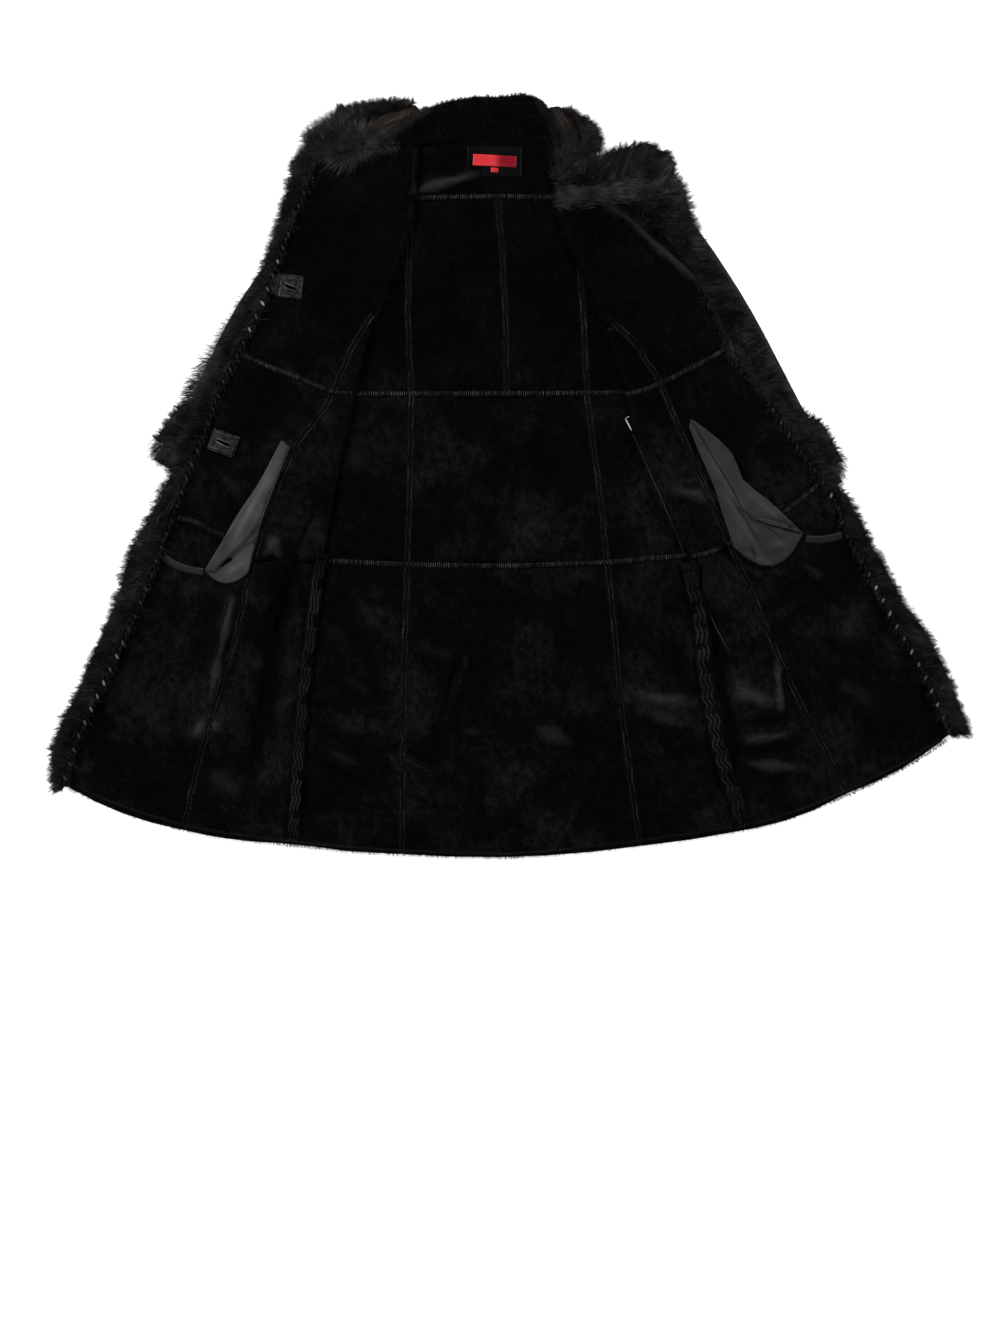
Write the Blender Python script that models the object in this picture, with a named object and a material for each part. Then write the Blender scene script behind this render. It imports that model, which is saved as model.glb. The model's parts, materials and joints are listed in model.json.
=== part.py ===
"""A long faux shearling coat laid open on a flat surface with its lining up.

Metres, +Z up. X runs across the coat and Y from the hem to the collar. The origin is on the
surface, under the middle of the back. "Left" and "right" are as seen from above, collar away.

The tables are in millimetres. Every panel is a patch between two seams and two cross seams, made
as a grid that is given a thickness. The back lies on the surface. At each side the front turns
back on itself along a fold from neck to hip, so it lies on a strip of its own and on the sleeve.
"""

import math

import bmesh
import bpy
from mathutils import Vector
from mathutils.bvhtree import BVHTree

MM = 0.001

# Thicknesses and clearances.
CLOTH = 5.0  # suede backing with its pile
GAP = 0.3  # between pieces that lie on each other
LAID_CLEAR = 0.6  # under a thin piece that follows what it lies on
SAMPLE_REACH = 1.5  # so that no seam is missed when the ground is felt for its height
BAG_CLEAR = 0.7  # under a pocket bag, which lies loosely
SEAM_INSET = 0.2  # each panel stops this far short of its seam
SEAM_DIP = 1.3  # the pile is pressed down this much at a seam
SEAM_SHOULDER = 7.0  # and is full again this far from it
NARROW = 0.85  # most of a panel's width that its shaped edges may take
TWILL = 1.6  # pocket bag, two layers of cotton twill
TAPE = 1.0
LEATHER = 1.8
SATIN = 0.7

# The layers, from the surface up.
STRIP_UNDER = CLOTH + GAP  # underside of a front where it lies on the back
FRONT_UNDER = 2 * (CLOTH + GAP)  # and where it lies on its own turned-under strip
SLEEVE_THICK = 10.3  # two layers, flat
SLEEVE_INSET = 0.4
CUFF_THICK = 17.0  # fur on both faces of the sleeve's end
CUFF_BULGE = 17.0  # how far it stands out beside the sleeve
CUFF_SPAN = (0.80, 0.95)  # the fur band's stretch of the sleeve, as shares of its length
DRAPE_MARGIN = 26.0  # cloth stays at full height this far past what is under it
SLEEVE_MARGIN = 38.0  # past a sleeve or cuff
DRAPE_RUN = 34.0  # and comes down over this length
BACK_RUN = 16.0
HIP_FADE = 60.0  # length below the hip over which the layers under a front end

# The folded edge of a front: a ledge at its foot, then a quarter round up to full height.
LEDGE = 2.5
FOLD_ROUND = 9.0
FOLD_PROFILE = [(0.06, 0.45), (0.35, 0.80), (1.0, 1.0)]
PLEAT_SPREAD = 75.0
PLEAT_CREST = 12.0
STRIP_REACH = 0.4  # how far the turned-under strip goes from the fold to the princess seam at the hip
SINGLE_CREASE = 0.3  # share of a crease that shows in a single layer at a fold
MIDDLE_LENGTH = 250.0  # a side panel's usual lengths, which space its rows
LOWER_LENGTH = 420.0
SEAM_SHOWS = {"left": 0.16, "right": 0.22}  # where the side seam comes out from under the fold
SEAM_SHOWS_RUN = 0.12

BANDS = ("upper", "middle", "lower")
ROWS = {"upper": 6, "middle": 6, "lower": 8}

# Seams that run down the coat. Each is one smooth line through its points, which are listed
# from the top to the waist seam, on to the hip seam, and on to the hem.
SEAMS = {
    "back_left": {
        "upper": [(-153, 414), (-156, 339), (-156, 234), (-151, 123)],
        "middle": [(-153, -6), (-157, -133)],
        "lower": [(-162, -306), (-165, -566)],
    },
    "centre_back": {
        "upper": [(-21, 418), (-14, 324), (-9, 219), (-8, 123.5)],
        "middle": [(-8, -135)],
        "lower": [(10, -570)],
    },
    "back_right": {
        "upper": [(97, 414), (102, 306), (108, 219), (112, 124)],
        "middle": [(123, 39), (135, -51), (142, -130)],
        "lower": [(153, -223), (162, -328), (178, -456), (192, -554)],
    },
    "side_left": {
        "upper": [(-252, 404), (-243, 340), (-241, 264), (-250, 196), (-252, 123)],
        "middle": [(-261, 9), (-276, -81), (-285, -127)],
        "lower": [(-301, -231), (-315, -351), (-322, -448), (-328, -550)],
    },
    "side_right": {
        "upper": [(191, 404), (188, 340), (199, 264), (214, 196), (228, 126)],
        "middle": [(243, -6), (264, -119)],
        "lower": [(282, -216), (292, -321), (315, -426), (349, -530)],
    },
    "fold_left": {
        "shoulder": [(-141, 493), (-143, 450), (-147, 391), (-160, 340), (-187, 271)],
        "upper": [(-207, 231), (-222, 189), (-235, 123)],
        "middle": [(-247, 69), (-261, 17), (-285, -31), (-310, -77), (-333, -128)],
        "lower": [(-342, -171), (-360, -246), (-378, -336), (-392, -420)],
    },
    "fold_right": {
        "shoulder": [(64, 438), (64, 405), (77, 361), (102, 306), (132, 241)],
        "upper": [(147, 196), (162, 147), (172, 121)],
        "middle": [(181, 61), (204, 0), (228, -63), (268, -119)],
        "lower": [(282, -171), (303, -219), (328, -268), (352, -330)],
    },
    "princess_left": {
        "upper": [(-187, 271), (-219, 225), (-243, 184), (-267, 124)],
        "middle": [(-285, 91), (-318, 54), (-340, 9), (-360, -43), (-375, -88), (-387, -126)],
        "lower": [(-399, -178), (-414, -246), (-435, -309), (-456, -381), (-474, -448), (-493, -530)],
    },
    "princess_right": {
        "upper": [(132, 241), (159, 223), (186, 196), (222, 138)],
        "middle": [(241, 91), (261, 46), (289, -21), (312, -73), (325, -101)],
        "lower": [(345, -144), (367, -193), (393, -258), (427, -331), (462, -396), (501, -475)],
    },
    "fur_left": {
        "top": [(-141, 493), (-180, 489), (-215, 484), (-254, 480), (-288, 477)],
        "upper": [(-307, 432), (-328, 376), (-348, 324), (-370, 264), (-408, 183)],
        "middle": [(-429, 144), (-447, 99), (-463, 54), (-483, 4), (-507, -61)],
        "lower": [(-528, -118), (-555, -189), (-585, -258), (-621, -331), (-648, -390), (-671, -462)],
    },
    "fur_right": {
        "top": [(64, 438), (110, 432), (160, 422), (205, 388)],
        "upper": [(242, 340), (282, 283), (304, 236), (318, 189)],
        "middle": [(349, 156), (384, 106), (417, 54), (462, -9)],
        "lower": [(485, -43), (500, -88), (534, -148), (577, -228), (612, -288), (637, -343), (656, -386)],
    },
}

# How far each length of hem bellies out between two seams.
HEM_SAG = {
    "front_left": 9,
    "front_side_left": 5,
    "back_side_left": 4,
    "back": 10,
    "back_side_right": 2,
    "front_side_right": 8,
    "front_right": 9,
}

# Sleeves lie under the fronts: the armhole end, the outer edge and the inner edge.
SLEEVES = {
    "left": {
        "armhole": [(-260, 436), (-254, 404), (-245, 340), (-243, 264), (-252, 198)],
        "outer": [
            (-260, 436), (-312, 398), (-360, 330), (-408, 260),
            (-435, 211), (-463, 151), (-489, 94), (-536, 24),
        ],
        "inner": [(-252, 198), (-300, 118), (-356, 34), (-412, -46)],
    },
    "right": {
        "armhole": [(200, 430), (193, 404), (190, 340), (201, 264), (216, 198)],
        "outer": [
            (200, 430), (250, 400), (280, 366), (312, 321),
            (357, 249), (409, 151), (444, 84), (495, -9),
        ],
        "inner": [(216, 198), (262, 110), (316, 14), (371, -79)],
    },
}

# Long fur down each front edge: the outline of its tips. It starts at the collar.
TRIM_OUTLINE = {
    "left": [
        (-257, 552), (-288, 522), (-316, 496), (-329, 447), (-348, 396), (-364, 346), (-380, 290),
        (-421, 213), (-461, 124), (-484, 69), (-508, 14), (-528, -28), (-549, -66), (-569, -111),
        (-591, -174), (-613, -231), (-636, -283), (-660, -343), (-683, -384), (-690, -426), (-686, -476),
    ],
    "right": [
        (95, 455), (118, 474), (150, 496), (192, 499), (230, 482), (255, 440), (270, 399), (284, 346),
        (322, 287), (369, 204), (414, 114), (458, 24), (499, -24), (527, -66), (542, -108), (565, -153),
        (590, -198), (620, -236), (642, -276), (664, -324), (684, -363), (689, -394),
    ],
}
TRIM_FIRST = {"left": 0.56, "right": 0.04}  # where along the front's upper edge the trim starts
TRIM_LAST = 0.985
TRIM_CLEAR = 2.5  # how far the fur stands off that edge
TRIM_FUR = 24.0  # its height
TRIM_END = 0.5  # how full it is at its two ends
FUR_INSET = 0.6
# Across the trim from its sewn edge to its tips: share of the width, share of the height.
TRIM_PROFILE = [(0, 0.36), (0.10, 0.70), (0.28, 0.94), (0.48, 1.0), (0.68, 0.88), (0.86, 0.60), (1, 0.26)]
TUFT_LENGTH = 46.0  # spacing of the clumps in the fur's outline
TUFT_SWELL = 2.6  # how far they stand in and out
TUFT_UNEVEN = 0.5  # a second, quicker swing of half the size makes them uneven
TUFT_SECOND = 20.0

# Collar: the seam at the neck, the rolled edge that stands up, and the leaf turned back behind it.
NECK_SEAM = [(-207, 488), (-168, 497), (-120, 506), (-55, 511), (12, 511), (44, 503), (59, 479), (66, 449)]
ROLLED_EDGE = [
    (-214, 497), (-180, 514), (-150, 536), (-112, 555), (-63, 566), (-18, 567),
    (16, 570), (38, 565), (55, 545), (70, 511), (79, 486), (87, 462),
]
# Across the collar, its leaf and its fur: share of the width and height.
COLLAR_PROFILE = [(0, 5.5), (0.12, 8.0), (0.55, 11.5), (0.85, 13.5), (0.96, 11.0), (1, 5.5)]
LEAF_PROFILE = [(0, 9.0), (0.5, 7.5), (1, 4.5)]
FUR_PROFILE = [(0, 8.0), (0.3, 15.0), (0.7, 15.0), (1, 5.0)]
LEAVES = {
    "left": {
        "roll": [(-214.3, 497.5), (-180.4, 514.5), (-150.4, 536.5), (-141.5, 542.2)],
        "edge": [(-234, 517), (-212, 529), (-182, 540), (-147, 551)],
    },
    "right": {
        "roll": [(56.2, 546.6), (70.4, 511.3), (79.4, 486.3), (87.4, 462.3)],
        "edge": [(69, 549), (92, 527), (101, 497), (104, 471)],
    },
}
COLLAR_FURS = {
    "left": {
        "inner": [(-234.4, 517.4), (-212.3, 529.4), (-182.2, 540.4), (-147.2, 551.4)],
        "outer": [(-251, 553), (-222, 558), (-180, 561), (-145, 560)],
    },
    "right": {
        "inner": [(69.4, 549.2), (92.4, 527.2), (101.5, 497), (104.5, 471)],
        "outer": [(75, 551), (104, 538), (130, 514), (128, 487)],
    },
}

# Back of the neck, down to the yoke seam.
YOKE = {
    "top": [
        (-264, 452), (-205, 470), (-145, 490), (-120, 503.5),
        (-55, 510.5), (12, 510.5), (42, 501), (52, 468),
    ],
    "seam": [(-252, 405), (-144, 416), (-21, 419), (78, 416)],
}

# Pocket bags, pulled out over the lining, each with the lobe that is folded over on it.
POCKETS = {
    "left": {
        "edge": [(-333, 42), (-346, 9), (-366, -43), (-381, -88), (-396, -145)],
        "far": [(-345, 50), (-374, -6), (-408, -58), (-434, -100), (-459, -142)],
        "belly": 17,
        "lobe": {
            "edge": [(-336, 44), (-348, 8), (-368, -36), (-381, -74), (-447, -143)],
            "far": [(-344, 51), (-373, -6), (-407, -58), (-433, -99), (-459, -141)],
        },
    },
    "right": {
        "edge": [(266, 72), (279, 39), (301, -13), (318, -66), (332, -107)],
        "far": [(268, 83), (309, 52), (333, 24), (339, -2), (387, -43), (434, -87)],
        "belly": 38,
        "lobe": {
            "edge": [(276, 74), (292, 46), (331, -21), (355, -61), (430, -84)],
            "far": [(270, 82), (309, 52), (333, 24), (339, -2), (387, -43), (433, -86)],
        },
    },
}
TAPES = {
    "left": [(-463, -144), (-482, -141), (-506, -133), (-521, -122)],
    "right": [(440, -95), (460, -96), (481, -93), (494, -89)],
}
TAPE_WIDTH = 9.0

# Leather facings of the two buttonholes: middle, size, turn and slit.
BUTTONHOLES = {
    "upper": {"middle": (-333, 283), "size": (38, 33), "turn": -6, "slit": (21, 2.2)},
    "lower": {"middle": (-431, 48), "size": (39, 31), "turn": -20, "slit": (23, 2.2)},
}
FACING_REACH = 7.0  # a facing's points lie over the highest pile this near

# The lapped side seams below the hip: their middle lines, and the frill of their edges.
LAPS = {
    "left": [(-284, -118), (-292, -160), (-301, -231), (-315, -351), (-322, -448), (-328, -540)],
    "right": [(262, -130), (282, -216), (292, -321), (315, -426), (347, -520)],
}
LAP_WIDTH = {"left": 17.0, "right": 22.0}
LAP_THICK = 2.6
LAP_WAVE = 58.0
LAP_SWING = 2.2
LAP_ROWS = 28
LAP_STEP = 0.02  # share of its length over which its direction is read

# Neck label: a satin patch, a plain woven label with no lettering, and its small tab.
PATCH = {"middle": (-26, 471), "size": (82, 46), "turn": 0}
LABEL = {"middle": (-26, 472), "size": (65, 17), "turn": -3}
TAB = {"middle": (-26, 458), "size": (11, 7), "turn": -3}
CARE_LABEL = [(167.5, 85), (175.5, 91), (176.6, 82), (178.2, 67)]

# The largest creases: a ridge from start to end, with its height and half width.
CREASES = [
    {"start": (-112, 440), "end": (-85, 451), "height": 3.0, "half": 9},
    {"start": (-85, 451), "end": (36, 442), "height": 3.0, "half": 9},
    {"start": (-409, -190), "end": (-433, -310), "height": 7.0, "half": 13},
    {"start": (-445, -368), "end": (-420, -400), "height": 4.0, "half": 14},
    {"start": (392, -262), "end": (402, -345), "height": 7.0, "half": 12},
    {"start": (342, -352), "end": (420, -395), "height": 3.5, "half": 16},
    {"start": (-82, -262), "end": (-100, -420), "height": 2.5, "half": 14},
    {"start": (190, -330), "end": (250, -400), "height": 3.0, "half": 18},
    {"start": (20, -230), "end": (60, -330), "height": 2.5, "half": 20},
]
COLOURS = {
    "pile": ((0.012, 0.011, 0.012), 0.75, 0.0),
    "suede": ((0.022, 0.018, 0.016), 0.85, 0.0),
    "fur": ((0.010, 0.009, 0.010), 0.6, 0.0),
    "twill": ((0.050, 0.048, 0.050), 0.7, 0.0),
    "leather": ((0.030, 0.030, 0.030), 0.45, 0.0),
    "satin": ((0.012, 0.012, 0.013), 0.4, 0.0),
    "label_red": ((0.62, 0.015, 0.025), 0.4, 0.0),
    "tape": ((0.020, 0.019, 0.020), 0.6, 0.0),
    "care": ((0.75, 0.74, 0.72), 0.6, 0.0),
}


# ---------------------------------------------------------------------------
# Lines and heights
# ---------------------------------------------------------------------------
def ease(share):
    """0 to 1 with level ends."""
    share = min(1.0, max(0.0, share))
    return share * share * (3 - 2 * share)


class Line:
    """The smooth line through a list of points, read by length from one of them to another."""

    def __init__(self, points):
        self.points = [Vector(p) for p in points]
        self.lengths = [0.0]
        for a, b in zip(self.points, self.points[1:]):
            self.lengths.append(self.lengths[-1] + (b - a).length)

    def slope(self, i):
        before, after = max(i - 1, 0), min(i + 1, len(self.points) - 1)
        return (self.points[after] - self.points[before]) / (self.lengths[after] - self.lengths[before])

    def at_length(self, s):
        s = min(max(s, 0.0), self.lengths[-1])
        i = max(k for k in range(len(self.points) - 1) if self.lengths[k] <= s + 1e-9)
        span = self.lengths[i + 1] - self.lengths[i]
        w = (s - self.lengths[i]) / span
        a, b = self.points[i], self.points[i + 1]
        out, back = self.slope(i) * span, self.slope(i + 1) * span
        return (
            a * (2 * w**3 - 3 * w**2 + 1)
            + out * (w**3 - 2 * w**2 + w)
            + b * (3 * w**2 - 2 * w**3)
            + back * (w**3 - w**2)
        )

    def part(self, first, last):
        """The stretch between two of its points, as a function of a share of that stretch."""
        start, end = self.lengths[first], self.lengths[last]
        return lambda share: self.at_length(start + (end - start) * share)

    def whole(self):
        return self.part(0, len(self.points) - 1)


def band_line(seam, band):
    """One seam between two cross seams, as a function of a share of its length from the top."""
    bands = SEAMS[seam]
    points = []
    for name, added in bands.items():
        if name == band:
            first = max(len(points) - 1, 0)
            last = len(points) + len(added) - 1
        points += added
    return Line(points).part(first, last)


def straight(a, b, sag=0.0):
    """From a to b, bellying out to the right of that direction by sag at its middle."""
    along = b - a
    out = Vector((along.y, -along.x)).normalized()
    return lambda share: a + along * share + out * (4 * sag * share * (1 - share))


def joined(first, second, share):
    """Two lines end to end, the first up to that share."""
    return lambda t: first(t / share) if t < share else second((t - share) / (1 - share))


def distance_to(point, corners, closed=False):
    """Distance from a point to a line of straight runs."""
    best = math.inf
    runs = list(zip(corners, corners[1:] + corners[:1] if closed else corners[1:]))
    for a, b in runs:
        along = b - a
        share = min(1.0, max(0.0, (point - a).dot(along) / max(along.length_squared, 1e-9)))
        best = min(best, (point - a - along * share).length)
    return best


def inside(point, corners):
    odd = False
    for a, b in zip(corners, corners[1:] + corners[:1]):
        if (a.y > point.y) != (b.y > point.y):
            if point.x < a.x + (b.x - a.x) * (point.y - a.y) / (b.y - a.y):
                odd = not odd
    return odd


def outline_of(lines, steps=12):
    """The corners round a patch, from its four edges given head to tail."""
    corners = []
    for line in lines:
        corners += [line(k / steps) for k in range(steps)]
    return corners


class Lift:
    """Something flat that cloth lies over: full height on it and a little past, then down."""

    def __init__(self, corners, height, run=DRAPE_RUN, margin=DRAPE_MARGIN):
        self.corners, self.height, self.run, self.margin = corners, height, run, margin
        xs, ys = [c.x for c in corners], [c.y for c in corners]
        reach = run + margin
        self.box = (min(xs) - reach, max(xs) + reach, min(ys) - reach, max(ys) + reach)

    def at(self, point):
        if not (self.box[0] < point.x < self.box[1] and self.box[2] < point.y < self.box[3]):
            return 0.0
        if inside(point, self.corners):
            return self.height
        past = distance_to(point, self.corners, closed=True) - self.margin
        return self.height * (1 - ease(past / self.run))


def crease_height(point):
    """The ridges of the largest creases, fading at both ends."""
    total = 0.0
    for crease in CREASES:
        a, b = Vector(crease["start"]), Vector(crease["end"])
        along = b - a
        share = min(1.0, max(0.0, (point - a).dot(along) / along.length_squared))
        away = (point - a - along * share).length / crease["half"]
        if away < 3:
            total += crease["height"] * math.exp(-away * away)
    return total


# ---------------------------------------------------------------------------
# Objects
# ---------------------------------------------------------------------------
def clear_scene():
    for obj in list(bpy.data.objects):
        bpy.data.objects.remove(obj, do_unlink=True)


def finish_material(name):
    """The plain Principled finish of one of the coat's materials."""
    material = bpy.data.materials.get(name)
    if material:
        return material
    colour, roughness, metallic = COLOURS[name]
    material = bpy.data.materials.new(name)
    material.use_nodes = True
    shader = material.node_tree.nodes["Principled BSDF"]
    shader.inputs["Base Color"].default_value = (*colour, 1)
    shader.inputs["Roughness"].default_value = roughness
    shader.inputs["Metallic"].default_value = metallic
    return material


def place(name, mesh, material, smooth_angle=40):
    """Puts a finished bmesh, in millimetres, into the scene in metres."""
    bmesh.ops.scale(mesh, vec=(MM, MM, MM), verts=mesh.verts)
    bmesh.ops.recalc_face_normals(mesh, faces=mesh.faces)
    data = bpy.data.meshes.new(name)
    mesh.to_mesh(data)
    mesh.free()
    data.materials.append(finish_material(material))
    data.shade_smooth()
    data.set_sharp_from_angle(angle=math.radians(smooth_angle))
    obj = bpy.data.objects.new(name, data)
    COAT.objects.link(obj)
    return obj


def wall(name, material, upper, lower):
    """A closed wall from two tables of points of one size: its upper face and its lower face."""
    rows, columns = len(upper), len(upper[0])
    mesh = bmesh.new()
    bmesh.ops.create_grid(mesh, x_segments=columns - 1, y_segments=rows - 1, size=1)

    def cell(vertex):
        across = round((vertex.co.x + 1) / 2 * (columns - 1))
        along = round((vertex.co.y + 1) / 2 * (rows - 1))
        return along, across

    lower_verts = {vertex: cell(vertex) for vertex in mesh.verts}
    raised = bmesh.ops.extrude_face_region(mesh, geom=mesh.faces[:])
    upper_verts = {v: cell(v) for v in raised["geom"] if isinstance(v, bmesh.types.BMVert)}
    for vertex, (along, across) in lower_verts.items():
        vertex.co = lower[along][across]
    for vertex, (along, across) in upper_verts.items():
        vertex.co = upper[along][across]
    return place(name, mesh, material)


def spaced(count, length, shoulder=SEAM_SHOULDER):
    """Shares of a length: its ends, a point just inside each, and count - 1 between."""
    inset = min(shoulder / length, 0.3)
    inner = [inset + (1 - 2 * inset) * k / count for k in range(count + 1)]
    return [0.0, *inner, 1.0]


class Patch:
    """The plan of one panel: a patch between a left, a right, a top and a bottom line."""

    def __init__(self, left, right, top, bottom):
        self.left, self.right, self.top, self.bottom = left, right, top, bottom

    def at(self, u, v):
        corners = (
            self.left(0) * (1 - u) * (1 - v)
            + self.right(0) * u * (1 - v)
            + self.left(1) * (1 - u) * v
            + self.right(1) * u * v
        )
        return (
            self.top(u) * (1 - v)
            + self.bottom(u) * v
            + self.left(v) * (1 - u)
            + self.right(v) * u
            - corners
        )

    def inset(self, u, v, amount=SEAM_INSET):
        """The same point, moved in from the edge that it lies on."""
        point = self.at(u, v)
        step = 1e-3
        inward = Vector((0, 0))
        if u in (0.0, 1.0):
            across = self.at(abs(u - step), v) - point
            along = self.at(u, min(v + step, 1)) - self.at(u, max(v - step, 0))
            normal = Vector((-along.y, along.x)).normalized()
            inward += normal if normal.dot(across) > 0 else -normal
        if v in (0.0, 1.0):
            across = self.at(u, abs(v - step)) - point
            along = self.at(min(u + step, 1), v) - self.at(max(u - step, 0), v)
            normal = Vector((-along.y, along.x)).normalized()
            inward += normal if normal.dot(across) > 0 else -normal
        return point + inward * amount

    def outline(self):
        return outline_of(
            [
                self.top,
                self.right,
                lambda t: self.bottom(1 - t),
                lambda t: self.left(1 - t),
            ]
        )


# ---------------------------------------------------------------------------
# Heights of the layers
# ---------------------------------------------------------------------------
def sleeve_patch(side, first=0.0, last=1.0, wider=0.0):
    """A stretch of the sleeve's plan, its outer edge first, and wider on both sides if asked."""
    shape = SLEEVES[side]
    outer, inner = Line(shape["outer"]).whole(), Line(shape["inner"]).whole()
    whole = Patch(outer, inner, Line(shape["armhole"]).whole(), straight(outer(1), inner(1)))

    def edge(u):
        def line(t):
            v = first + (last - first) * t
            away = (whole.at(u, v) - whole.at(0.5, v)).normalized()
            return whole.at(u, v) + away * wider

        return line

    def across(v):
        return lambda t: whole.at(t, v)

    if first == 0:
        return Patch(edge(0.0), edge(1.0), across(0.0), across(last))
    outer, inner = edge(0.0), edge(1.0)
    return Patch(outer, inner, straight(outer(0), inner(0)), straight(outer(1), inner(1)))


def seam_corners(seam, bands, steps=8):
    """Corners down a seam through several bands."""
    corners = []
    for band in bands:
        line = band_line(seam, band)
        corners += [line(k / steps) for k in range(steps + 1)]
    return corners


def back_outline(side):
    """One half of the back above the hip, with its shoulder."""
    corners = seam_corners(f"side_{side}", ("upper", "middle"))
    middle = seam_corners("centre_back", ("upper", "middle"))[::-1]
    shoulder = [Vector(p) for p in YOKE["top"]]
    if side == "left":
        return corners + middle + shoulder[4::-1]
    return corners + middle + shoulder[4:]


def doubled_outline(side):
    """Where the front lies on its own turned-under strip, from shoulder to hip."""
    fold = seam_corners(f"fold_{side}", ("shoulder", "upper", "middle"))
    armhole = [Vector(p) for p in SLEEVES[side]["armhole"]]
    seam = seam_corners(f"side_{side}", ("upper",))
    hip_fold = band_line(f"fold_{side}", "middle")
    princess = band_line(f"princess_{side}", "middle")
    strip = [hip_fold(k / 8).lerp(princess(k / 8), STRIP_REACH) for k in range(9)]
    return fold + strip[::-1] + [seam[-1]] + armhole[::-1]


def make_lifts(side):
    """What the front of one side lies over: as its underside meets it, and as its top shows it."""
    sleeve = Lift(sleeve_patch(side).outline(), SLEEVE_THICK + GAP, DRAPE_RUN, SLEEVE_MARGIN)
    band = sleeve_patch(side, *CUFF_SPAN, CUFF_BULGE).outline()
    cuff = Lift(band, CUFF_THICK + GAP, DRAPE_RUN, SLEEVE_MARGIN)
    back = Lift(back_outline(side), STRIP_UNDER, BACK_RUN)
    doubled = Lift(doubled_outline(side), FRONT_UNDER)
    return {"under": (sleeve, cuff, back), "over": (sleeve, cuff, back, doubled)}


def front_under(side):
    """Underside of the front that shows."""

    def height(point):
        lifted = max(lift.at(point) for lift in LIFTS[side]["under"])
        back = LIFTS[side]["under"][2].at(point) / STRIP_UNDER
        return lifted + crease_height(point) * back

    return height


def front_over(side):
    """Upper face of the front that shows."""

    def height(point):
        return max(lift.at(point) for lift in LIFTS[side]["over"]) + CLOTH + crease_height(point)

    return height


def pile_top(point):
    """Upper face of cloth that lies on the surface."""
    return CLOTH + crease_height(point)


def on_floor(_point):
    return 0.0


# ---------------------------------------------------------------------------
# Panels
# ---------------------------------------------------------------------------
def panel(name, patch, under, over, columns, shares, seams="lrtb", fold=None, material="pile"):
    """A cloth panel between its underside and its upper face.

    fold(v) gives how far in from the first edge the fold stands, and how much of it is left.
    Cloth short of the fold is a single layer. At the edges named in seams the pile is pressed."""
    upper, lower = [], []
    for v in shares:
        width = (patch.at(0, v) - patch.at(1, v)).length
        if fold:
            stand, strength = fold(v)
            stand = max(stand, LEDGE)
            steps = [(0.0, 0.0), (stand * 0.5, 0.0), (stand, 0.0)]
            steps += [(stand + FOLD_ROUND * x, y) for x, y in FOLD_PROFILE]
        else:
            strength = 1.0
            steps = [(0.0, 1.0), (SEAM_SHOULDER, 1.0)]
        tight = min(1.0, NARROW * width / (steps[-1][0] + SEAM_SHOULDER))
        first = steps[-1][0] * tight / width
        last = 1 - SEAM_SHOULDER * tight / width
        places = [(distance * tight / width, rise) for distance, rise in steps]
        places += [(first + (last - first) * k / columns, 1.0) for k in range(1, columns + 1)]
        places.append((1.0, 1.0))
        upper_row, lower_row = [], []
        for u, rise in places:
            plan = patch.inset(u, v)
            low = under(plan)
            single = low + CLOTH + crease_height(plan) * SINGLE_CREASE
            top = over(plan)
            if fold:
                top = single + (top - single) * rise * strength + (top - single) * (1 - strength) * (u > 0)
            pressed = (
                (u == 0.0 and "l" in seams)
                or (u == 1.0 and "r" in seams)
                or (v == 0.0 and "t" in seams)
                or (v == 1.0 and "b" in seams)
            )
            if pressed:
                top = max(top - SEAM_DIP, low + CLOTH - SEAM_DIP)
            upper_row.append(Vector((plan.x, plan.y, top)))
            lower_row.append(Vector((plan.x, plan.y, low)))
        upper.append(upper_row)
        lower.append(lower_row)
    return wall(name, material, upper, lower)


def make_back():
    """Three bands of back panels between the waist and hip seams. The top one has a centre seam."""
    strips = {
        "back_side_left": ("side_left", "back_left", 2),
        "back": ("back_left", "back_right", 5),
        "back_side_right": ("back_right", "side_right", 2),
    }
    for band in BANDS:
        for strip, (left, right, columns) in strips.items():
            pieces = [(f"{strip}_{band}", left, right, columns)]
            if strip == "back" and band == "upper":
                pieces = [
                    ("back_upper_left", "back_left", "centre_back", 2),
                    ("back_upper_right", "centre_back", "back_right", 2),
                ]
            for name, a, b, count in pieces:
                left_line, right_line = band_line(a, band), band_line(b, band)
                sag = HEM_SAG[strip] if band == "lower" else 0
                bottom = straight(left_line(1), right_line(1), sag)
                patch = Patch(left_line, right_line, straight(left_line(0), right_line(0)), bottom)
                length = (patch.at(0, 0) - patch.at(0, 1)).length
                panel(name, patch, on_floor, pile_top, count, spaced(ROWS[band], length))


def make_yoke():
    top, seam = Line(YOKE["top"]).whole(), Line(YOKE["seam"]).whole()
    patch = Patch(straight(top(0), seam(0)), straight(top(1), seam(1)), top, seam)
    panel("back_yoke", patch, on_floor, pile_top, 14, spaced(2, 60))


def front_shares(side, band):
    """Rows of a front panel. The upper one has them down the fold to the head of the princess
    seam, then down that. The fur that is sewn to it has the same ones."""
    if band == "upper":
        return [0.0, 0.02, 0.12, 0.24, 0.36, 0.48] + [0.5 + 0.5 * share for share in side_shares()]
    seam = band_line(f"princess_{side}", band)
    return spaced(ROWS[band], (seam(0) - seam(1)).length)


def side_shares():
    """Rows of the upper side panel, as shares of the princess seam. It starts where there is room."""
    return [0.2, 0.4, 0.6, 0.8, 0.955, 1.0]


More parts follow.
